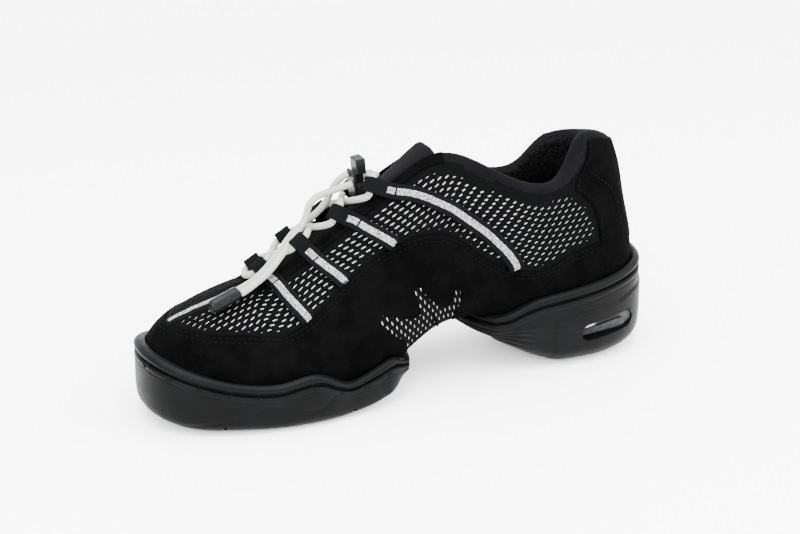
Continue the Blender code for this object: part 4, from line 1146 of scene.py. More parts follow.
# %% [markdown]
# ## Knit with open holes
#
# The knit is black, and pale cloth shows through slanted holes about 3 mm long. Paint alone would look flat
# close by, so each hole is cut: a brick of twelve border points, a raised lip, and a wall down to the backing.
# The holes shrink to nothing near the panel's borders, as the knit closes up there.

# %% Bricks of knit
HOLE_PITCH = 3.75
HOLE_ROW = 2.9
HOLE_LENGTH = 1.4
HOLE_WIDTH = 0.38
# Columns: x on the last, slant of the holes in degrees; the knit is turned as it is pulled over the instep
SLANT_LINE = np.array([(60.0, 33.0), (75.0, 35.0), (88.0, 38.0), (100.0, 40.0), (110.0, 36.0), (118.0, 26.0),
                       (126.0, 11.0), (135.0, -4.0), (150.0, -13.0), (174.0, -16.0),
                       (186.0, 8.0), (198.0, 28.0), (215.0, 23.0), (232.0, 10.0), (245.0, 8.0)])
KNIT_LIFT = 0.38
OPEN_FROM = 0.3
BRICK = np.array([(-.5, -.5), (-.25, -.5), (0, -.5), (.25, -.5), (.5, -.5), (.5, 0), (.5, .5), (.25, .5), (0, .5),
                  (-.25, .5), (-.5, .5), (-.5, 0)])
# Size of the raised lip and of the hole's foot against the hole, and heights of lip, rim and foot
LIP_SIZE, FOOT_SIZE = 1.22, 0.96
LIP_RISE, RIM_SINK, FOOT_LIFT = 0.1, 0.06, -0.13
KNIT_WELD = 0.02


def hole_ring(border, slant, length, width):
    """Twelve points of an ellipse turned by each cell's slant, each starting near its border point's ray."""
    slant = np.radians(slant)[:, None]
    turn = np.arctan2(border[:, 1], border[:, 0])[None] - slant
    along, across = np.cos(turn) * length, np.sin(turn) * width
    return np.stack([along * np.cos(slant) - across * np.sin(slant),
                     along * np.sin(slant) + across * np.cos(slant)], axis=2)


def knit_cells(x_range, down_range, pitch, row, stagger):
    """Middles of bricks over a box of the chart, every second row shifted by a share of the pitch."""
    row_count = int(np.ptp(down_range) / row)
    column_count = int(np.ptp(x_range) / pitch)
    number, column = np.meshgrid(np.arange(row_count), np.arange(column_count), indexing="ij")
    x = x_range[0] + (column + stagger * (number % 2)) * pitch
    return np.stack([x.ravel(), (down_range[0] + number * row).ravel()], axis=1)


def knit_mesh(name, cells, border, open_share, hole, mirrored, lift):
    """Each brick: border, lip outside, lip inside and foot of the hole, as four rings of twelve points."""
    holes = open_share > OPEN_FROM
    grow = ramp(open_share)[:, None, None]
    middle, sides = cells[:, None], len(border)
    rings = [middle + np.broadcast_to(border, (len(cells), sides, 2)), middle + hole * LIP_SIZE * grow,
             middle + hole * grow, middle + hole * FOOT_SIZE * grow]
    spots = []
    for ring, height in zip(rings, (lift, lift + LIP_RISE, lift - RIM_SINK, FOOT_LIFT)):
        top = np.interp(ring[..., 0], CHART_X, CHART_TOP)
        rows, shares = chart(ring[..., 0], np.maximum(ring[..., 1], top))
        spots.append(wall(other_side(rows) if mirrored else rows, shares, height))
    number = np.arange(sides)
    plain = np.stack([number, np.roll(number, -1), np.full(sides, sides)], axis=1)
    first = np.arange(len(cells))[:, None, None] * len(rings) * sides
    open_faces = (grid_quads(len(rings), sides, ring=True)[None] + first)[holes].reshape(-1, 4)
    shut_faces = (plain[None] + first)[~holes].reshape(-1, 3)
    mesh = new_mesh(name, np.stack(spots, axis=1).reshape(-1, 3), [open_faces, shut_faces], weld=None)
    shape = bmesh.new()
    shape.from_mesh(mesh)
    bmesh.ops.delete(shape, geom=[v for v in shape.verts if not v.link_faces], context="VERTS")
    bmesh.ops.remove_doubles(shape, verts=shape.verts, dist=KNIT_WELD * MM)
    shape.to_mesh(mesh)
    shape.free()
    if mirrored:
        mesh.flip_normals()
    add_piece(mesh, KNIT)
    print(name, int(holes.sum()), "holes", len(mesh.polygons), "faces")


# %% Knit of both sides
KNIT_BOX = ((26.0, 257.0), (-8.0, 66.0))
SUEDE_OVERLAP = 4.0
TOP_OVERLAP = 0.4
BAND_OVERLAP = 0.012
COUNTER_OVERLAP = 0.3
cells = knit_cells(*KNIT_BOX, HOLE_PITCH, HOLE_ROW, 0.5)
rows, shares = chart(cells[:, 0], cells[:, 1])
below_top = cells[:, 1] - np.interp(cells[:, 0], CHART_X, CHART_TOP)
high = np.where(rows < BAND_FRONT + 0.1, band_share(rows) + BAND_OVERLAP, 1.0)
wanted = ((shares - suede_edge(rows)) * wall_height(rows) > -SUEDE_OVERLAP) & (below_top > -TOP_OVERLAP)
wanted &= (shares < high) & (rows > counter_row(shares) - COUNTER_OVERLAP)
cells, opening = cells[wanted], side_opening(rows, shares)[wanted]
slant = read_off(SLANT_LINE, cells[:, 0])
border = BRICK * np.array([HOLE_PITCH, HOLE_ROW])
hole = hole_ring(border, slant, HOLE_LENGTH, HOLE_WIDTH)
for label, mirrored in (("left", False), ("right", True)):
    knit_mesh("knit_" + label, cells, border, opening, hole, mirrored, KNIT_LIFT)

# %% Knit in the arch
# The same cloth is turned here, so its bricks stand on end
CLAW_BOX = ((96.0, 168.0), (40.0, 112.0))
CLAW_STEP = 2.7
CLAW_LONG = 4.5
CLAW_SLANT = -70.0
CLAW_HOLE = (1.7, 0.36)
CLAW_SINK = 0.1
claw_cells = knit_cells(*CLAW_BOX, CLAW_STEP, CLAW_LONG, 0.0)
claw_cells = claw_cells[claw_zone(*chart(claw_cells[:, 0], claw_cells[:, 1]))]
always = np.ones(len(claw_cells))
border = BRICK * np.array([CLAW_STEP, CLAW_LONG])
hole = hole_ring(border, always * CLAW_SLANT, *CLAW_HOLE)
knit_mesh("knit_arch", claw_cells, border, always, hole, False, KNIT_LIFT - CLAW_SINK)

# %% [markdown]
# ## Suede mudguard
#
# Suede about a millimetre thick is sewn over the knit round the whole shoe, and along the arch it wraps right
# under the foot. It is the wall's function again, lifted, with its upper edge rounded over.

# %% Cutting helpers


def loft(name, first, second):
    """Two matching outlines joined by quads and closed at both ends."""
    count = len(first)
    ring = np.arange(count)
    after = np.roll(ring, -1)
    sides = np.stack([ring, after, after + count, ring + count], axis=1)
    return new_mesh(name, np.concatenate([first, second]), [sides, ring[None], ring[None, ::-1] + count])


def prism(name, outline, start, end):
    """An x-z outline carried from one y to another."""
    return loft(name, *(np.insert(outline, 1, y, axis=1) for y in (start, end)))


def carve(mesh, cutters):
    """Takes the cutters out of a mesh with an exact Boolean and keeps the result."""
    body = in_scene("to_carve", mesh)
    tools = [in_scene(cutter.name, cutter) for cutter in cutters]
    for tool in tools:
        modifier = body.modifiers.new(tool.name, "BOOLEAN")
        modifier.operation = "DIFFERENCE"
        modifier.solver = "EXACT"
        modifier.object = tool
    graph = bpy.context.evaluated_depsgraph_get()
    carved = bpy.data.meshes.new_from_object(body.evaluated_get(graph))
    name = mesh.name
    for item in [body] + tools:
        bpy.data.objects.remove(item, do_unlink=True)
    mesh.name = name + "_uncut"
    carved.name = name
    return carved


print("cutting helpers ready")

# %% Mudguard
SUEDE_LIFT = 0.95
CLAW_DEPTH = (-1.5, 9.0)
EDGE_ROUND = 0.9
SUEDE_ROWS = np.linspace(0, ALL_ROWS, 385)[:-1]
SUEDE_LEVELS = 26
EDGE_LEVELS = 6
SUEDE_FLOOR = 7
EDGE_FOOT = 0.1
SUEDE_BACK = 0.05
FLOOR_SHARE = 0.55


def rounded(distance, width=EDGE_ROUND):
    """Quarter circle: 0 at the edge, 1 a width away from it."""
    inside = 1 - ramp(distance / width)
    return np.sqrt(ramp(1 - inside ** 2))


def mudguard_grid(rows):
    """Outer and inner faces: floor, then a climb that ends in a rounded edge at the suede line."""
    edge, height = suede_edge(rows)[:, None], wall_height(rows)[:, None]
    step = EDGE_ROUND / height
    climb = np.linspace(0, 1, SUEDE_LEVELS) * (edge - step)
    turned = edge - step * (1 - np.sin(np.linspace(0, np.pi / 2, EDGE_LEVELS + 1)[1:]))
    shares = np.concatenate([climb, turned], axis=1)
    drop = rounded((edge - shares) * height)
    lines = np.repeat(rows[:, None], shares.shape[1], axis=1)
    outer = wall(lines, shares, EDGE_FOOT + (SUEDE_LIFT - EDGE_FOOT) * drop)
    inner = wall(lines, shares, SUEDE_BACK)
    floor = floor_levels(rows, SUEDE_FLOOR)
    down = np.array([0.0, 0.0, SUEDE_LIFT * FLOOR_SHARE])
    return np.concatenate([floor - down, outer], axis=1), np.concatenate([floor, inner], axis=1)


outer, inner = mudguard_grid(SUEDE_ROWS)
stations, levels = outer.shape[:2]
second = stations * levels
bottom = grid_quads(stations, levels, closed=True, first=second)[:, ::-1]
here = np.arange(stations) * levels
onward = np.roll(here, -1)
rim_low = np.stack([here, onward, second + onward, second + here], axis=1)
rim_top = rim_low + levels - 1
rim_low = rim_low[~both_ends(over_arch(SUEDE_ROWS))]
mudguard_mesh = new_mesh("suede_mudguard", np.concatenate([outer.reshape(-1, 3), inner.reshape(-1, 3)]),
                         [grid_quads(stations, levels, closed=True), bottom, rim_top, rim_low])
claw_cutter = loft("claw_cut", *(wall(CLAW[:, 0], CLAW[:, 1], lift) for lift in CLAW_DEPTH))
mudguard_mesh = carve(mudguard_mesh, [claw_cutter])
add_piece(mudguard_mesh, SUEDE)
print("mudguard", len(mudguard_mesh.polygons), "faces")

# %% [markdown]
# ## Patches: heel counter and throat edging
#
# Smaller suede and webbing pieces are patches of the same wall. A patch is a grid of rows and shares, lifted
# off the wall with a rounded border and closed underneath.

# %% Patch function


def dense_ends(count, share=0.06):
    """Numbers from 0 to 1, bunched near both ends so that rounded borders keep their shape."""
    inner_part = np.linspace(share, 1 - share, count)
    end = share * (1 - np.cos(np.linspace(0, np.pi / 2, 6)))[:-1]
    return np.concatenate([end, inner_part, 1 - end[::-1]])


def border_distance(points):
    """Distance of each grid point from the nearest border, along the grid's own lines."""
    far = []
    for axis in (0, 1):
        step = np.linalg.norm(np.diff(points, axis=axis), axis=2)
        pad = [(0, 0), (0, 0)]
        pad[axis] = (1, 0)
        run = np.cumsum(np.pad(step, pad), axis=axis)
        total = np.take(run, [-1], axis=axis)
        far.append(np.minimum(run, total - run))
    return np.minimum(*far)


PATCH_DEPTH = 0.25


def patch(name, rows, shares, top, foot, material, border=EDGE_ROUND, spots=None):
    """A lifted piece of wall, rounded down to its foot at the border, closed below; spots become its UVs."""
    flat = wall(rows, shares)
    face = wall(rows, shares, foot + (top - foot) * rounded(border_distance(flat), border))
    back = wall(rows, shares, foot - PATCH_DEPTH)
    stations, levels = rows.shape
    second = stations * levels
    number = np.arange(second).reshape(stations, levels)
    ring = np.concatenate([number[0, :], number[1:, -1], number[-1, -2::-1], number[-2:0:-1, 0]])
    after = np.roll(ring, -1)
    side = np.stack([ring, after, after + second, ring + second], axis=1)
    face_sets = [grid_quads(stations, levels), grid_quads(stations, levels, first=second)[:, ::-1], side]
    uv_sets = None if spots is None else [spots.reshape(-1, 2)[faces % second] for faces in face_sets]
    mesh = new_mesh(name, np.concatenate([face.reshape(-1, 3), back.reshape(-1, 3)]), face_sets, uv_sets)
    return add_piece(mesh, material)


print("patches round off over", EDGE_ROUND, "mm")


# %% Heel counter and throat edging
COUNTER_LOW = 0.35
COUNTER_HIGH = 0.968
COUNTER_LIFT = 1.35
COUNTER_FOOT = 0.3
EDGING_WIDTH = 5.2
EDGING_LIFT = 1.0
EDGING_FOOT = 0.2


def counter_piece():
    """Round the heel from side to side, out to the counter's front line at every share."""
    across = dense_ends(60, 0.02)[:, None] * 2 - 1
    shares = COUNTER_LOW + (COUNTER_HIGH - COUNTER_LOW) * dense_ends(40, 0.03)[None, :]
    rows, shares = np.broadcast_arrays(across * counter_row(shares), shares)
    return patch("heel_counter", rows, shares, COUNTER_LIFT, COUNTER_FOOT, SUEDE)


def edging_piece(label, first, last):
    """A folded suede edge along the throat, drawn as a patch of the wall up to its top edge."""
    rows = (first + (last - first) * dense_ends(70, 0.01))[:, None]
    shares = 1 - (1 - dense_ends(12, 0.16)) * EDGING_WIDTH / wall_height(rows)
    rows = np.broadcast_to(rows, shares.shape)
    return patch("throat_edging_" + label, rows, shares, EDGING_LIFT, EDGING_FOOT, SUEDE)


pieces = [counter_piece(), edging_piece("left", BAND_FRONT - 0.05, THROAT_END),
          edging_piece("right", other_side(BAND_FRONT - 0.05), other_side(THROAT_END))]
print("patches", [(piece.name, len(piece.data.polygons)) for piece in pieces])

# %% [markdown]
# ## Half soles
#
# Each half sole is moulded in one shot: a tread, a bulging side, a groove under a lip, and a rounded bead that
# runs round the rim in waves. The side is a function of two parameters, the station round the outline and the
# height, and bead, groove, lip, notches and ribs are bumps added to how far it stands out.

# %% Sole tables and outline
# Columns: row number, height of the rim, lift of the tread above the floor, how far the tread tucks in
FOREFOOT = np.array([(5.8, 21.0, 9.0, 16.0), (6.1, 25.5, 4.6, 11.0), (6.5, 22.4, 1.6, 8.5), (6.95, 19.0, 0.3, 7.0),
                     (7.65, 27.0, 0.0, 6.0), (8.45, 24.5, 0.0, 6.0), (9.2, 26.5, 0.4, 7.0), (10.2, 32.5, 1.2, 6.5),
                     (11.2, 37.2, 3.0, 6.5), (12.0, 38.4, 3.8, 6.5)])
HEEL = np.array([(0.0, 48.0, 2.0, 8.0), (1.0, 47.0, 1.4, 8.5), (2.0, 43.0, 0.0, 10.0), (2.6, 40.8, 0.0, 12.5),
                 (3.05, 38.8, 4.0, 15.0), (3.3, 36.0, 7.2, 17.0), (3.5, 32.8, 9.6, 19.5), (3.7, 31.4, 12.2, 22.0)])
RIM_THICKNESS = 3.2
CUP_CLEARANCE = 0.55
CUP_SHARES = (0.98, 0.8, 0.6, 0.42, 0.25, 0.1)
FULL_RIM = 24.0
OUTWARD_BLUR = 2.5
STEEP_TUCK = (10.0, 24.0)


def sole_profile(table, rows):
    """Cubic between table rows with slopes from their neighbours, kept within the table's own range."""
    slopes = np.gradient(table[:, 1:], table[:, 0], axis=0)
    here = np.clip(np.searchsorted(table[:, 0], rows, side="right") - 1, 0, len(table) - 2)
    width = (table[here + 1, 0] - table[here, 0])[:, None]
    part = ramp((rows - table[here, 0])[:, None] / width)
    smooth = hermite(table[here, 1:], slopes[here] * width, table[here + 1, 1:], slopes[here + 1] * width, part)
    return np.clip(smooth, table[:, 1:].min(axis=0), table[:, 1:].max(axis=0)).T


def blur_round(values, far, width):
    """Mean over the neighbours round a closed loop, weighted by a Gaussian of the distance along it."""
    total = far[-1] + far[1] - far[0]
    gap = np.abs(far[:, None] - far[None, :])
    weight = np.exp(-0.5 * (np.minimum(gap, total - gap) / width) ** 2)
    return (weight @ values).T / weight.sum(axis=1)


def sole_outline(half_rows, crossing, bow, turn):
    """Feather line of the left side, a bowed line across the foot, and the right side back."""
    left, left_out = feather_line(half_rows)
    right, right_out = feather_line(other_side(half_rows))
    part = np.arange(1, crossing + 1) / (crossing + 1)
    line = left[-1] * (1 - part[:, None]) + right[-1] * part[:, None]
    line[:, 0] += turn * bow * np.sin(np.pi * part)
    facing = np.stack([np.full(crossing, float(turn)), np.cos(np.pi * part) ** 3, np.zeros(crossing)], axis=1)
    outline = np.concatenate([left, line, right[:0:-1]])
    far = lengths_along(outline)
    outward = unit(np.concatenate([left_out, facing, right_out[:0:-1]]))
    across = np.zeros(len(outline), bool)
    across[len(half_rows) - 1:len(half_rows) + crossing + 1] = True
    return outline, unit(blur_round(outward, far, OUTWARD_BLUR).T), across, far


print("sole tables", FOREFOOT.shape, HEEL.shape)

# %% Cup and rim
SUEDE_ROOM = SUEDE_STEP + CUP_CLEARANCE
CUP_STEPS = 60
CUP_RIM = 0.6
# Blurs along the outline, in millimetres, of the rim's height, the tuck and the stand
RIM_BLUR, TUCK_BLUR, STAND_BLUR = 1.6, 3.0, 2.0


def cup_points(rows, bed, rim, share):
    """The cup's inner face at a share of its height, just outside the suede."""
    climb = np.linspace(0, 1, CUP_STEPS)
    heights = base_points(np.repeat(rows, CUP_STEPS), np.tile(climb, len(rows)))[:, 2].reshape(-1, CUP_STEPS)
    wanted = bed + share * np.maximum(rim - CUP_RIM - bed, CUP_RIM)
    at = np.array([np.interp(height, line, climb) for height, line in zip(wanted, heights)])
    return base_points(rows, at) + base_normals(rows, at) * SUEDE_ROOM


def sole_cups(outline, outward, across, half_rows, rim):
    """The cup's rings from the rim down; across the foot they lie level, just under the shell."""
    sides = ~across
    side_rows = np.concatenate([half_rows[:-1], other_side(half_rows[-2:0:-1])])
    level = outline + outward * SUEDE_ROOM - np.array([0.0, 0.0, CLEARANCE])
    cups = np.repeat(level[None], len(CUP_SHARES), axis=0)
    for cup, share in zip(cups, CUP_SHARES):
        cup[sides] = cup_points(side_rows, outline[sides, 2], rim[sides], share)
    return cups


def sole_edges(table, half_rows, crossing, nose, outline, across, far):
    """Rim height, tread lift and tuck all round: the table on both sides, level and tucked across the foot."""
    rim, lift, tuck = sole_profile(table, fold(half_rows))
    ends = np.ones(crossing)
    rim, lift, tuck = (np.concatenate([side, middle, side[:0:-1]]) for side, middle in
                       ((rim, ends * 0), (lift, ends * lift[-1]), (tuck, ends * nose)))
    rim[across] = outline[across, 2] - CLEARANCE
    rim = blur_round(rim, far, RIM_BLUR)
    rim[across] = np.minimum(rim[across], outline[across, 2] - CLEARANCE)
    return rim, lift, blur_round(tuck, far, TUCK_BLUR)


print("cup stands", SUEDE_ROOM, "mm off the wall")

# %% Sole surface
SIDE_SHARES = np.concatenate([(0.0, 0.02, 0.05, 0.09, 0.14), np.linspace(0.2, 1.0, 46)])
SHOULDER = 8.8
TUCK_END = 0.36
TAPER_END = 0.56
BULGE, BULGE_END = 0.8, 0.4
SMALLEST_RIM = 0.25
# Columns: distance from the rim, how far the surface stands out there
RIM_RELIEF = np.array([
    (-8.4, 0.6), (-7.7, 0.8), (-7.0, 0.95), (-6.3, 0.95), (-5.9, 0.75), (-5.6, 0.3), (-5.4, -0.4), (-5.1, -1.1),
    (-4.7, -1.3), (-4.3, -1.2), (-4.0, -0.8), (-3.8, -0.2), (-3.6, 0.25), (-3.3, 0.6), (-2.8, 0.85),
    (-2.2, 0.95), (-1.6, 0.8), (-1.1, 0.45), (-0.65, -0.1), (-0.3, -0.8), (-0.1, -1.4), (0.0, -2.0)])
RELIEF_GAIN = 1.3
RING_STEP = 0.05
NOTCH_PITCH = 13.0
NOTCH_WIDTH = 0.9
NOTCH_DEPTH = 1.5
# Side height from which notches start, and over which they grow; place and half width of the lip that they cut
NOTCH_START, NOTCH_GROWTH = 14.0, 5.0
LIP, LIP_WIDTH = -6.5, 0.8


def end_faces(stations, levels):
    """Quads across the first and the last ring of a mirrored outline, with a triangle at each tip."""
    number = np.arange(stations) * levels
    rings = (number, number + levels - 1)
    half = stations // 2
    k = np.arange(1, half - 1)
    ladders = [np.stack([n[k], n[k + 1], n[stations - k - 1], n[stations - k]], axis=1) for n in rings]
    tips = [(n[0], n[1], n[-1]) for n in rings] + [(n[half - 1], n[half], n[half + 1]) for n in rings]
    return ladders + [np.array(tips)]


def half_sole(name, table, half_rows, crossing, bow, turn, nose, extra, notched):
    """Rings of the outline: tread edge, bulging side, lip, groove and bead, then down the cup inside."""
    outline, outward, across, far = sole_outline(half_rows, crossing, bow, turn)
    rim, lift, tuck = sole_edges(table, half_rows, crossing, nose, outline, across, far)
    cups = sole_cups(outline, outward, across, half_rows, rim)
    reach = np.maximum(np.einsum("cij,ij->ci", cups - outline, outward), SUEDE_ROOM)
    stand = blur_round(reach.max(axis=0), far, STAND_BLUR) + RIM_THICKNESS
    slope = np.interp(tuck, STEEP_TUCK, (0.0, 1.0))
    size = np.clip((rim - lift) / FULL_RIM, SMALLEST_RIM, 1.0)
    notch = np.exp(-((np.mod(far, NOTCH_PITCH) - NOTCH_PITCH / 2) / NOTCH_WIDTH) ** 2)
    notch *= notched * ramp((rim - lift - NOTCH_START) / NOTCH_GROWTH)

    def ring_at(out, level):
        """The outline, moved outwards and set to a level."""
        ring = outline + outward * out[:, None]
        ring[:, 2] = level
        return ring

    rings = []
    for share in SIDE_SHARES:
        level = lift + share * (rim - SHOULDER * size - lift)
        height = (level - lift) / (rim - lift)
        tucked = ramp(1 - height / TUCK_END) ** 4
        straight = ramp(1 - height / TAPER_END)
        inset = tuck * (tucked * (1 - slope) + straight * slope)
        bulge = BULGE * ramp(height / BULGE_END) * (1 - slope)
        rings.append(ring_at(stand - inset + bulge + extra(outline, level, slope, height), level))
    for drop, out in RIM_RELIEF:
        level = np.maximum(rim + drop * size, level + RING_STEP)
        bite = notch * np.exp(-((drop - LIP) / LIP_WIDTH) ** 2)
        out = stand + out * ramp(size * RELIEF_GAIN) - bite
        rings.append(ring_at(out + extra(outline, level, slope, 1.0), level))
    corner = ring_at(np.full(len(outline), SUEDE_ROOM), outline[:, 2] - CLEARANCE)
    grid = np.stack([*rings, *cups, corner], axis=1)
    stations, levels = grid.shape[:2]
    quads = grid_quads(stations, levels, closed=True)
    return new_mesh(name, grid.reshape(-1, 3), [quads, *end_faces(stations, levels)])


print("side of", len(SIDE_SHARES) + len(RIM_RELIEF), "rings")

# %% Both half soles
# Height, depth and half width of the line where the tread rubber meets the side
OUTSOLE_LINE, LINE_DEPTH, LINE_WIDTH = 3.0, 0.3, 0.5
# Columns: x of the outline, height of the crease above the heel's lower block
BLOCK_LINE = np.array([(7.0, 35.0), (17.2, 32.8), (25.1, 29.8), (33.5, 28.6), (47.0, 28.0), (58.1, 26.4)])
BLOCK_FRONT, FRONT_BLEND = 59.5, 1.4
BLOCK_STEP, CREASE_BLEND = 0.75, 0.8
RIB_DEPTH, RIB_PITCH = 0.5, 0.112
RIB_SLOPE, RIB_BLEND = 0.35, 0.25


def forefoot_side(outline, level, slope, height):
    """A thin line all round, where the tread rubber meets the side."""
    above = level - level.min() - OUTSOLE_LINE
    return -LINE_DEPTH * np.exp(-(above / LINE_WIDTH) ** 2) * (height < 0.9)


def heel_side(outline, level, slope, height):
    """Five ribs along the steep front, and a lower block that stands out below a crease."""
    steep = ramp((slope - RIB_SLOPE) / RIB_BLEND) * (height < TAPER_END)
    ribs = RIB_DEPTH * steep * np.sin(TURN * height / RIB_PITCH)
    line = read_off(BLOCK_LINE, outline[:, 0])
    below = ramp((line - level) / CREASE_BLEND + 0.5)
    return ribs + BLOCK_STEP * below * ramp((BLOCK_FRONT - outline[:, 0]) / FRONT_BLEND)


# Columns: table, rows of the left side, bow of the end across the foot, its direction, side details, notches
SOLES = {"forefoot_rubber": (FOREFOOT, np.linspace(12.0, 5.8, 240), 5.0, -1, forefoot_side, NOTCH_DEPTH),
         "heel_rubber": (HEEL, np.linspace(0.0, 3.7, 170), 8.0, 1, heel_side, 0.0)}
CROSSING = 61
NOSE_TUCK = 20.0
forefoot_mesh, heel_mesh = (half_sole(name, table, rows, CROSSING, bow, turn, NOSE_TUCK, extra, notched)
                            for name, (table, rows, bow, turn, extra, notched) in SOLES.items())
print("soles", len(forefoot_mesh.polygons), len(heel_mesh.polygons), "faces")

# %% [markdown]
# ## Window and flex notches
#
# A slanted window in each side of the heel shows a silvered plate, and two notches let the forefoot bend. Both
# are cut from the moulded shapes by Boolean, then kept as plain meshes.

# %% Cut the soles
WINDOW_CENTRE = np.array((28.9, 18.0))
WINDOW_TILT = 5.0
# Length and height of the shallow step round the window and of the window, and how far in each is cut
STEP_SIZE, STEP_CENTRE, STEP_DEPTH = (34.8, 9.2), WINDOW_CENTRE + np.array((-1.2, 0.4)), 29.6
WINDOW_SIZE, WINDOW_DEPTH = (31.4, 7.6), 23.5
BEYOND_SIDE = 60.0
FLEX_PLACES = (172.0, 236.0)
FLEX_OUTLINE = np.array([(-1.4, -3.0), (1.4, -3.0), (1.0, 4.4), (0.4, 4.9), (-0.4, 4.9), (-1.0, 4.4)])
SOLE_SHARP = 38.0
SIDES = ((1, "left"), (-1, "right"))


def slot_outline(size, centre=WINDOW_CENTRE, tilt=WINDOW_TILT, steps=14):
    """Two half circles joined by straight lines, turned so that the back end lies higher by the tilt in degrees."""
    radius = size[1] / 2
    lean = np.radians(tilt)
    turn = np.linspace(-np.pi / 2, np.pi / 2, steps)
    end = np.stack([size[0] / 2 - radius + radius * np.cos(turn), radius * np.sin(turn)], axis=1)
    loop = np.concatenate([end, -end])
    return centre + loop @ np.array(((np.cos(lean), -np.sin(lean)), (np.sin(lean), np.cos(lean))))


def sole_piece(mesh, cutters, node):
    """Carves a half sole and shows it in place of its node."""
    return add_piece(carve(mesh, cutters), RUBBER, (node,), sharp=SOLE_SHARP)


window_cutters = []
for side, label in SIDES:
    step_line, window_line = slot_outline(STEP_SIZE, STEP_CENTRE), slot_outline(WINDOW_SIZE)
    window_cutters.append(prism("step_cut_" + label, step_line, side * STEP_DEPTH, side * BEYOND_SIDE))
    window_cutters.append(prism("window_cut_" + label, window_line, side * WINDOW_DEPTH, side * BEYOND_SIDE))
flex_cutters = [prism(f"flex_cut_{number}", FLEX_OUTLINE + np.array((x, 0.0)), -BEYOND_SIDE, BEYOND_SIDE)
                for number, x in enumerate(FLEX_PLACES)]
for mesh, cutters, node in ((heel_mesh, window_cutters, "heel_sole"), (forefoot_mesh, flex_cutters, "forefoot_sole")):
    print("carved", sole_piece(mesh, cutters, node).name)

# %% Plates and bars in the windows
PLATE_SIZE, PLATE_DEPTHS = (31.0, 7.2), (24.3, 27.2)
BAR_SIZE, BAR_DEPTHS = (26.0, 4.0), (27.0, 28.9)
BAR_CENTRE = np.array((30.4, 15.4))
BAR_TILT = 10.0
for side, label in SIDES:
    plate = prism("window_plate_" + label, slot_outline(PLATE_SIZE), *(side * depth for depth in PLATE_DEPTHS))
    add_piece(plate, PLATE, ("heel_window_plate_" + label,))
    bar_line = slot_outline(BAR_SIZE, BAR_CENTRE, BAR_TILT)
    bar = prism("window_bar_" + label, bar_line, *(side * depth for depth in BAR_DEPTHS))
    add_piece(bar, BAR)
print("windows filled")

# %% [markdown]
# ## Tongue and insole
#
# The tongue is a padded band under the throat, thick in the middle and rolled thin at its edges. The insole is a
# thin cloth-covered bed. Both are grids across the shoe with a thickness that rounds off at the border.

# %% Tongue


def resample(points, count):
    """Even samples along each row of points, on cubics with slopes from the neighbours."""
    at = np.linspace(0, points.shape[1] - 1, count)
    here = np.clip(at.astype(int), 0, points.shape[1] - 2)
    slope = np.gradient(points, axis=1)
    return hermite(points[:, here], slope[:, here], points[:, here + 1], slope[:, here + 1],
                   (at - here)[None, :, None])


def pillow(name, face, thickness, border):
    """A face and its back, a thickness apart in the middle and meeting round the border."""
    normal = unit(np.cross(np.gradient(face, axis=1), np.gradient(face, axis=0)))
    full = rounded(border_distance(face), border)[..., None] * thickness / 2
    middle = face - normal * thickness / 2
    stations, levels = face.shape[:2]
    second = stations * levels
    points = np.concatenate([(middle + normal * full).reshape(-1, 3), (middle - normal * full).reshape(-1, 3)])
    return new_mesh(name, points, [grid_quads(stations, levels), grid_quads(stations, levels, first=second)[:, ::-1]])


TOP_ROW = 5.08
TOP_BLEND = 1.2
TOP_LEVEL = 2.4
FAR_LIFT = np.array((0.0, 3.0, 10.6))
FAR_TUCK = np.array((0.0, 4.0, 6.0))
TOP_CURVE = 1.5
TONGUE_STEPS = 240
TONGUE_EXTRA = 0.4
TONGUE_BORDER = 2.4


def shaped_tongue(rows):
    """The tongue's line with a level top end: the crown stands higher there, the far edge too and further in."""
    line = tongue_line(rows)
    near_top = ramp(1 - (rows - TOP_ROW) / TOP_BLEND)[:, None] ** TOP_CURVE
    line[:, 2] += near_top * np.array((0.0, 0.0, TOP_LEVEL))
    line[:, 3] += near_top * FAR_LIFT
    line[:, 4] += near_top * FAR_TUCK
    return line


tongue_rows = TOP_ROW + (TONGUE_ROWS[1] - TOP_ROW) * dense_ends(60, 0.03)
tongue_face = resample(shaped_tongue(tongue_rows), TONGUE_STEPS + 1)
tongue_face = tongue_face[:, np.unique(np.round(dense_ends(40, 0.05) * TONGUE_STEPS).astype(int))]
tongue_mesh = pillow("padded_tongue", tongue_face, TONGUE_THICKNESS + TONGUE_EXTRA, TONGUE_BORDER)
tongue = add_piece(tongue_mesh, FOAM_CLOTH, ("tongue",))
print("tongue", len(tongue_mesh.polygons), "faces")

# %% Insole
INSOLE_INSET = 3.7
INSOLE_LIFT = 3.0
INSOLE_HOLLOW = 0.7
INSOLE_THICKNESS = 2.6
INSOLE_BORDER = 1.6


def insole_face():
    """Between the left and right outlines at each row: a straight line across with a soft hollow for the foot."""
    rows = LAST_ROW * dense_ends(90, 0.02)
    lines = (feather_line(rows), feather_line(other_side(rows)))
    left, right = (edge - outward * INSOLE_INSET for edge, outward in lines)
    part = dense_ends(30, 0.05)[None, :, None]
    face = left[:, None] * (1 - part) + right[:, None] * part
    face[..., 2] += WALL + CLEARANCE + INSOLE_LIFT - INSOLE_HOLLOW * np.sin(np.pi * part[..., 0])
    return face


insole_mesh = pillow("cloth_insole", insole_face(), INSOLE_THICKNESS, INSOLE_BORDER)
add_piece(insole_mesh, LINING, ("insole",))
print("insole", len(insole_mesh.polygons), "faces")

# %% [markdown]
# ## Webbing loops
#
# Four webbing bands on each side are sewn down the wall. At the throat each turns round the lace and goes back
# under itself. A band is a rounded rectangle carried along that path, and a reflective strip lies on top.

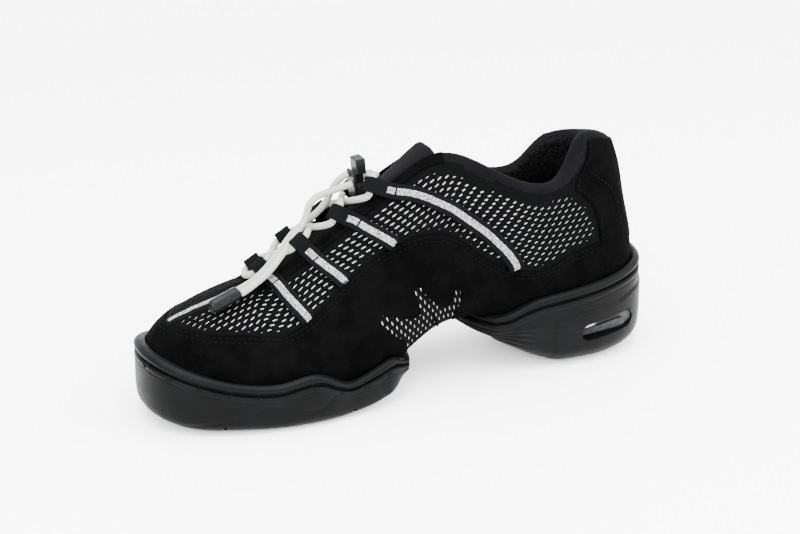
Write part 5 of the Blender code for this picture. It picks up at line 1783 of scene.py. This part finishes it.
# %% Loop paths
# Rows and shares along the middle of each band, from the throat down to the suede
LOOPS = {"1": ((8.20, 1.0), (8.06, 0.907), (7.95, 0.80), (7.80, 0.687), (7.62, 0.553)),
         "2": ((7.38, 1.0), (7.29, 0.915), (7.18, 0.835), (7.05, 0.757), (6.88, 0.655)),
         "3": ((6.68, 1.0), (6.56, 0.945), (6.44, 0.88), (6.26, 0.797), (6.05, 0.707), (5.92, 0.65)),
         "4": ((6.05, 1.0), (5.85, 0.932), (5.65, 0.88), (5.44, 0.823), (5.2, 0.76), (4.92, 0.703), (4.62, 0.653),
               (4.29, 0.61), (4.12, 0.583), (3.85, 0.52), (3.62, 0.43), (3.52, 0.36))}
ROW_SPAN, WALL_SPAN = 25.0, 80.0
BAND_WIDTH = 8.0
STRIP_WIDTH = 3.3
BAND_THICKNESS = 1.2
BAND_LIFT = 1.2
# How deep a band dives under the suede, how far from its edge that starts, and over what length
SUEDE_DIVE, DIVE_START, DIVE_LENGTH = 2.6, 2.6, 3.0
EYE_RADIUS = 2.5
EYE_REACH = 4.6
EYE_LIFT = 1.6


def loop_rows(name, side, count=9):
    """Even steps along a cubic through the band's rows and shares, both taken in rough millimetres."""
    listed = np.array([(row * ROW_SPAN, share * WALL_SPAN, 0.0) for row, share in LOOPS[name]])
    line = even_steps(smooth_route(listed), count)
    rows = line[:, 0] / ROW_SPAN
    return rows if side > 0 else other_side(rows), line[:, 1] / WALL_SPAN


def band_lift(rows, shares):
    """Bands lie on the knit and dive under the suede over the last millimetres before its edge."""
    from_suede = (shares - suede_edge(rows)) * wall_height(rows)
    return BAND_LIFT - SUEDE_DIVE * ramp((DIVE_START - from_suede) / DIVE_LENGTH) ** 2


def loop_eye(name, side):
    """Centre of the loop's eye, and the directions down the band, across it and out of the wall there."""
    rows, shares = loop_rows(name, side)
    spot = base_points(rows, shares)
    out = base_normals(rows, shares)[0]
    along = unit(spot[1] - spot[0])
    across = unit(np.cross(along, out))
    eye = spot[0] - along * EYE_REACH + out * (BAND_LIFT + BAND_THICKNESS / 2 + EYE_LIFT)
    return eye, along, across, out


print("eye of the first loop at", loop_eye("1", 1)[0].round(1))

# %% Bands and strips
EYE_TURN = np.radians((62.0, 95.0, 130.0, 165.0, 200.0, 235.0, 270.0))
# Distances along the band and below the eye of the two points where a band goes back under itself
TUCK_ALONG, TUCK_BELOW = np.array((2.5, 6.0)), np.array((3.0, 3.4))
STRIP_THICKNESS = 0.36
STRIP_RISE = 0.05
# Millimetres from the throat to both ends of the cut across a strip, and from the strip's end to the band's
STRIP_CUT, STRIP_END = (7.2, 8.1), 1.5


def ribbon(name, centre, across, width, thickness, corner=5):
    """A flat section carried along a line: a rounded rectangle across it; u is mm across, v is mm along."""
    normal = unit(np.cross(np.gradient(centre, axis=0), across))
    half, radius = width / 2, thickness / 2
    turn = np.linspace(-np.pi / 2, np.pi / 2, corner)
    side = np.stack([half - radius + radius * np.cos(turn), radius * np.sin(turn)], axis=1)
    top = np.stack([np.linspace(half - radius, radius - half, 7)[1:-1], np.full(5, radius)], axis=1)
    section = np.concatenate([side, top, -side, -top])
    rings = centre[:, None] + across[:, None] * section[None, :, :1] + normal[:, None] * section[None, :, 1:]
    count, sides = rings.shape[:2]
    ring = np.arange(sides)
    caps = np.stack([ring, ring[::-1] + (count - 1) * sides])
    u = section[:, 0]
    return new_mesh(name, rings.reshape(-1, 3), [grid_quads(count, sides, ring=True), caps],
                    [sleeve_uv(u, np.roll(u, -1), lengths_along(centre)), np.zeros((2, sides, 2))], FINE_WELD)


def across_line(line, normals):
    """Directions across a band: the line's own direction crossed with the wall's normal."""
    return unit(np.cross(unit(np.gradient(line, axis=0)), normals))


def loop_band(name, side):
    """Up the wall, over the lace round the eye, and back under the band."""
    rows, shares = loop_rows(name, side, 24)
    spot = wall(rows, shares, band_lift(rows, shares) + BAND_THICKNESS / 2)
    eye, along, across, out = loop_eye(name, side)
    radius = EYE_RADIUS + BAND_THICKNESS / 2
    round_eye = eye + radius * (np.cos(EYE_TURN)[:, None] * along + np.sin(EYE_TURN)[:, None] * out)
    tuck = eye + along * TUCK_ALONG[:, None] - out * TUCK_BELOW[:, None]
    line = smooth_route(np.concatenate([spot[:0:-1], round_eye, tuck]), 4)
    directions = across_line(spot, base_normals(rows, shares))
    keyed = np.concatenate([directions[:0:-1], np.repeat(across[None], len(round_eye) + 2, axis=0)])
    return line, unit(sample(keyed, np.arange(len(keyed)), np.linspace(0, len(keyed) - 1, len(line))))


def strip_line(name, side, start, end, lift):
    """Part of a band's line, between two shares of its length, a lift above the band's underside."""
    rows, shares = loop_rows(name, side, 60)
    spot = wall(rows, shares, band_lift(rows, shares) + lift)
    far = lengths_along(spot) / lengths_along(spot)[-1]
    at = np.linspace(start, end, 30)
    centre = sample(spot, far, at)
    return centre, across_line(centre, wall_normals(np.interp(at, far, rows), np.interp(at, far, shares)))


for side, label in SIDES:
    for name in LOOPS:
        band = ribbon(f"webbing_{label}_{name}", *loop_band(name, side), BAND_WIDTH, BAND_THICKNESS)
        add_piece(band, WEBBING, (f"lace_loop_{label}_{name}",))
        total = lengths_along(strip_line(name, side, 0.0, 1.0, 0.0)[0])[-1]
        for number, (start, end) in enumerate(((0.0, STRIP_CUT[0]), (STRIP_CUT[1], total - STRIP_END))):
            line = strip_line(name, side, start / total, end / total, BAND_THICKNESS + STRIP_RISE)
            strip = ribbon(f"strip_{label}_{name}_{number}", *line, STRIP_WIDTH, STRIP_THICKNESS)
            add_piece(strip, STRIP)
print("loops", len(LOOPS) * 2)

# %% [markdown]
# ## Lace through the eyes
#
# The lace is one elastic cord that starts in a bar across the bottom of the throat, zigzags up through the eyes
# and enters the toggle from behind. Between eyes it is a cubic that leaves and arrives along each eye's axis.

# %% Crossing cords
EYE_RUN = 3.8
BAR_REACH = 3.6
BAR_PULL = 6.0
BAR_OVERLAP = 0.6
CROSSING_PULL = 13.0
LOCK_PULL = 9.0
LOCK_RUN = 3.2
CORD_DROP = 1.8
CORD_PAIR = 2.1


def s_bend(start, start_way, end, end_way, pull):
    """Hermite cubic between two points and directions; the pull is how far each direction carries."""
    return hermite(start, start_way * pull, end, end_way * pull, np.linspace(0, 1, 28)[:, None])


def eye_run(name, side):
    """Front and back ends of the lace's straight run through an eye, and its direction."""
    eye, along, across, out = loop_eye(name, side)
    backward = -across * np.sign(across[0])
    return eye - backward * EYE_RUN, eye + backward * EYE_RUN, backward


def cord_route(first):
    """From the middle of the bottom bar through the eyes on alternate sides to the back of the toggle."""
    left, right = eye_run("1", 1), eye_run("1", -1)
    way = SIDEWAYS * first
    here = (left[0] + right[0]) / 2 - (left[2] + right[2]) / 2 * BAR_REACH - way * BAR_OVERLAP
    pull, side = BAR_PULL, first
    stretches = []
    for name in LOOPS:
        front, back, backward = eye_run(name, side)
        stretches.append(s_bend(here, way, front, backward, pull))
        here, way, pull, side = back, backward, CROSSING_PULL, -side
    end = lock_point(-LOCK_DEPTH / 2 - CLEARANCE, -side * CORD_PAIR, BARREL_HEIGHT + NOTCH_HEIGHT / 2 - CORD_DROP)
    stretches.append(s_bend(here, way, end - LOCK_AHEAD * LOCK_RUN, LOCK_AHEAD, LOCK_PULL))
    return even_steps(np.concatenate(stretches + [end[None]]), 330)


for first, label in SIDES:
    nodes = ("lace_crossings",) if first > 0 else ()
    route = cord_route(first)
    add_piece(tube("lace_from_" + label, route, LACE_DIAMETER / 2), BRAID, nodes)
    print("lace from the", label, round(lengths_along(route)[-1]), "mm")

# %% [markdown]
# ## Toe band
#
# One more webbing band runs from the foot of the throat over the middle of the toe and under the suede, with the
# same reflective strip on it. It is a piece of the wall's own surface, lifted, so it follows the toe exactly.

# %% Toe band
# Columns: x on the last, how far the band's middle lies towards the inner side
TOE_LINE = np.array([(209.0, 6.2), (211.5, 6.0), (222.0, 5.5), (231.0, 4.4), (240.0, 3.0), (251.0, 0.0)])


TOE_BORDER = 0.5


def toe_band(name, half, top, foot, material, x_range):
    """Chart points at x and middle(x) + across; where that passes the ridge the mirrored row is used."""
    x = np.linspace(*x_range, 46)[:, None]
    side = read_off(TOE_LINE, x) + (2 * dense_ends(10, 0.12)[None, :] - 1) * half
    x = np.broadcast_to(x, side.shape)
    rows, shares = chart(x, np.abs(side))
    rows = np.where(side < 0, other_side(rows), rows)
    band = patch(name, rows, shares, top, foot, material, TOE_BORDER, np.stack([side, x], axis=2))
    print(name, len(band.data.polygons), "faces")


toe_band("toe_webbing", 3.6, 0.95, 0.2, WEBBING, (209.5, 252.5))
toe_band("toe_strip", 1.15, 1.25, 0.7, STRIP, (210.5, 251.0))

# %% [markdown]
# ## Stitches
#
# The suede is sewn down with two rows of black thread along its edge, and single rows run round the counter, along a
# seam on it, below the collar band and along the throat. Each stitch is one short bead of thread that dips at both
# ends.

# %% Stitches
STITCH_PITCH = 2.8
STITCH_LENGTH = 2.0
STITCH_RADIUS = 0.32
STITCH_SINK = np.array((-0.2, 0.08, -0.2))
STITCH_TAPER = np.array((0.4, 1.0, 0.4))


STITCH_SIDES = 6


def stitch_row(points, normals):
    """Three rings of six points for each stitch: centre(s) + taper x (across cos t + outward sin t)."""
    far = lengths_along(points)
    count = max(int(far[-1] / STITCH_PITCH), 1)
    at = (np.arange(count)[:, None] + 0.5) * far[-1] / count + np.array((-0.5, 0.0, 0.5)) * STITCH_LENGTH
    centre, lean = sample(points, far, at), unit(sample(normals, far, at))
    way = unit(centre[:, 2:] - centre[:, :1])
    across = unit(np.cross(np.broadcast_to(way, lean.shape), lean))
    centre = centre + lean * STITCH_SINK[:, None]
    size = (STITCH_TAPER * STITCH_RADIUS)[:, None, None]
    return (centre[:, :, None] + size * spokes(across, lean, STITCH_SIDES)).reshape(count, -1, 3)


def stitches(name, lines):
    """All the stitches along a few (points, normals) lines, as one mesh of thread."""
    block = np.concatenate([stitch_row(*line) for line in lines])
    numbers = np.arange(len(block))[:, None, None] * block.shape[1]
    ring = np.arange(STITCH_SIDES)
    parts = (grid_quads(3, STITCH_SIDES, ring=True), np.stack([ring[::-1], ring + 2 * STITCH_SIDES]))
    faces = [(part[None] + numbers).reshape(-1, part.shape[1]) for part in parts]
    add_piece(new_mesh(name, block.reshape(-1, 3), faces), THREAD)
    print(name, len(block), "stitches")


def on_wall(rows, shares, lift):
    """Points and normals of a line on the wall."""
    return wall(rows, shares, lift), wall_normals(rows, shares)


def below(rows, shares, distance):
    """Shares that lie a distance in millimetres further down the wall."""
    return shares - distance / wall_height(rows)


# %% Seams
# Distances of the two rows from the suede's edge, of the counter's row from its edge (in rows), and of the rows
# below the collar band and the throat
SUEDE_SEAMS, COUNTER_SEAM, BAND_SEAM, THROAT_SEAM = (2.0, 4.2), 0.085, 1.3, 3.6
# Rows and shares along the seam on the heel counter
SEAM = np.array([(1.912, 0.78), (1.688, 0.74), (1.45, 0.69), (1.3, 0.6), (1.3, 0.46)])
edge_rows = np.linspace(2.05, ALL_ROWS - 2.05, 700)
edge = suede_edge(edge_rows)
stitches("stitches_suede", [on_wall(edge_rows, below(edge_rows, edge, far), SUEDE_LIFT) for far in SUEDE_SEAMS])
counter_shares = np.linspace(0.42, 0.95, 60)
seam_line = smooth_route(np.insert(SEAM * (ROW_SPAN, WALL_SPAN), 2, 0.0, axis=1))
band_rows = np.linspace(2.1, 5.0, 120)
throat_rows = np.linspace(5.1, 8.9, 120)
trim_lines = []
for side, _ in SIDES:
    trim_lines.append(on_wall(side * (counter_row(counter_shares) - COUNTER_SEAM), counter_shares, COUNTER_LIFT))
    trim_lines.append(on_wall(side * seam_line[:, 0] / ROW_SPAN, seam_line[:, 1] / WALL_SPAN, COUNTER_LIFT))
    rows = np.mod(side * band_rows, ALL_ROWS)
    trim_lines.append(on_wall(rows, below(rows, band_share(rows), BAND_SEAM), KNIT_LIFT + 0.1))
    rows = np.mod(side * throat_rows, ALL_ROWS)
    trim_lines.append(on_wall(rows, below(rows, 1.0, THROAT_SEAM), EDGING_LIFT))
stitches("stitches_trim", trim_lines)

# %% [markdown]
# ## Toggle
#
# The toggle is two moulded blocks that slide in each other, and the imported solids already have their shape, so
# they stay and get the plastic's own finish.

# %% Toggle finish
for node in ("cord_lock_body", "cord_lock_button"):
    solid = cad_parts[node]
    solid.data.materials.clear()
    solid.data.materials.append(PLASTIC)
print("toggle painted")

# %% [markdown]
# ## Floor and light
#
# The photograph was lit from all round on white. A pale floor, a bright sky and three large soft lamps give the
# same even light, with a broad highlight along the sole.

# %% Studio


def floor_paint(place):
    """Pale board with hardly any tone."""
    cloud = place.noise(3.0)
    return (cloud.mix(grey(0.86), grey(0.88)),
            0.32 + 0.06 * cloud,
            (cloud, 0.0))


FLOOR = finish("pale_floor", floor_paint, 0.25)
floor_mesh = bpy.data.meshes.new("floor")
floor_mesh.from_pydata([(-6, -6, 0), (6, -6, 0), (6, 6, 0), (-6, 6, 0)], [], [(0, 1, 2, 3)])
floor_mesh.materials.append(FLOOR)
floor = in_scene("floor", floor_mesh)
world = bpy.data.worlds.new("studio")
world.use_nodes = True
world.node_tree.nodes["Background"].inputs["Color"].default_value = (0.97, 0.985, 1.0, 1.0)
world.node_tree.nodes["Background"].inputs["Strength"].default_value = 5.0
bpy.context.scene.world = world


def soft_lamp(name, place, aim, size, power):
    """A large square lamp that faces its aim."""
    lamp = in_scene(name, bpy.data.lights.new(name, "AREA"))
    lamp.data.size = size
    lamp.data.energy = power
    return look(lamp, place, aim)


soft_lamp("top_lamp", (0.1, 0.1, 1.3), (0.0, 0.0, 0.0), 1.2, 84.0)
soft_lamp("front_lamp", (0.9, 1.0, 0.8), (0.0, 0.0, 0.05), 0.9, 54.0)
soft_lamp("heel_lamp", (-1.0, 0.6, 0.7), (0.0, 0.0, 0.05), 0.9, 42.0)
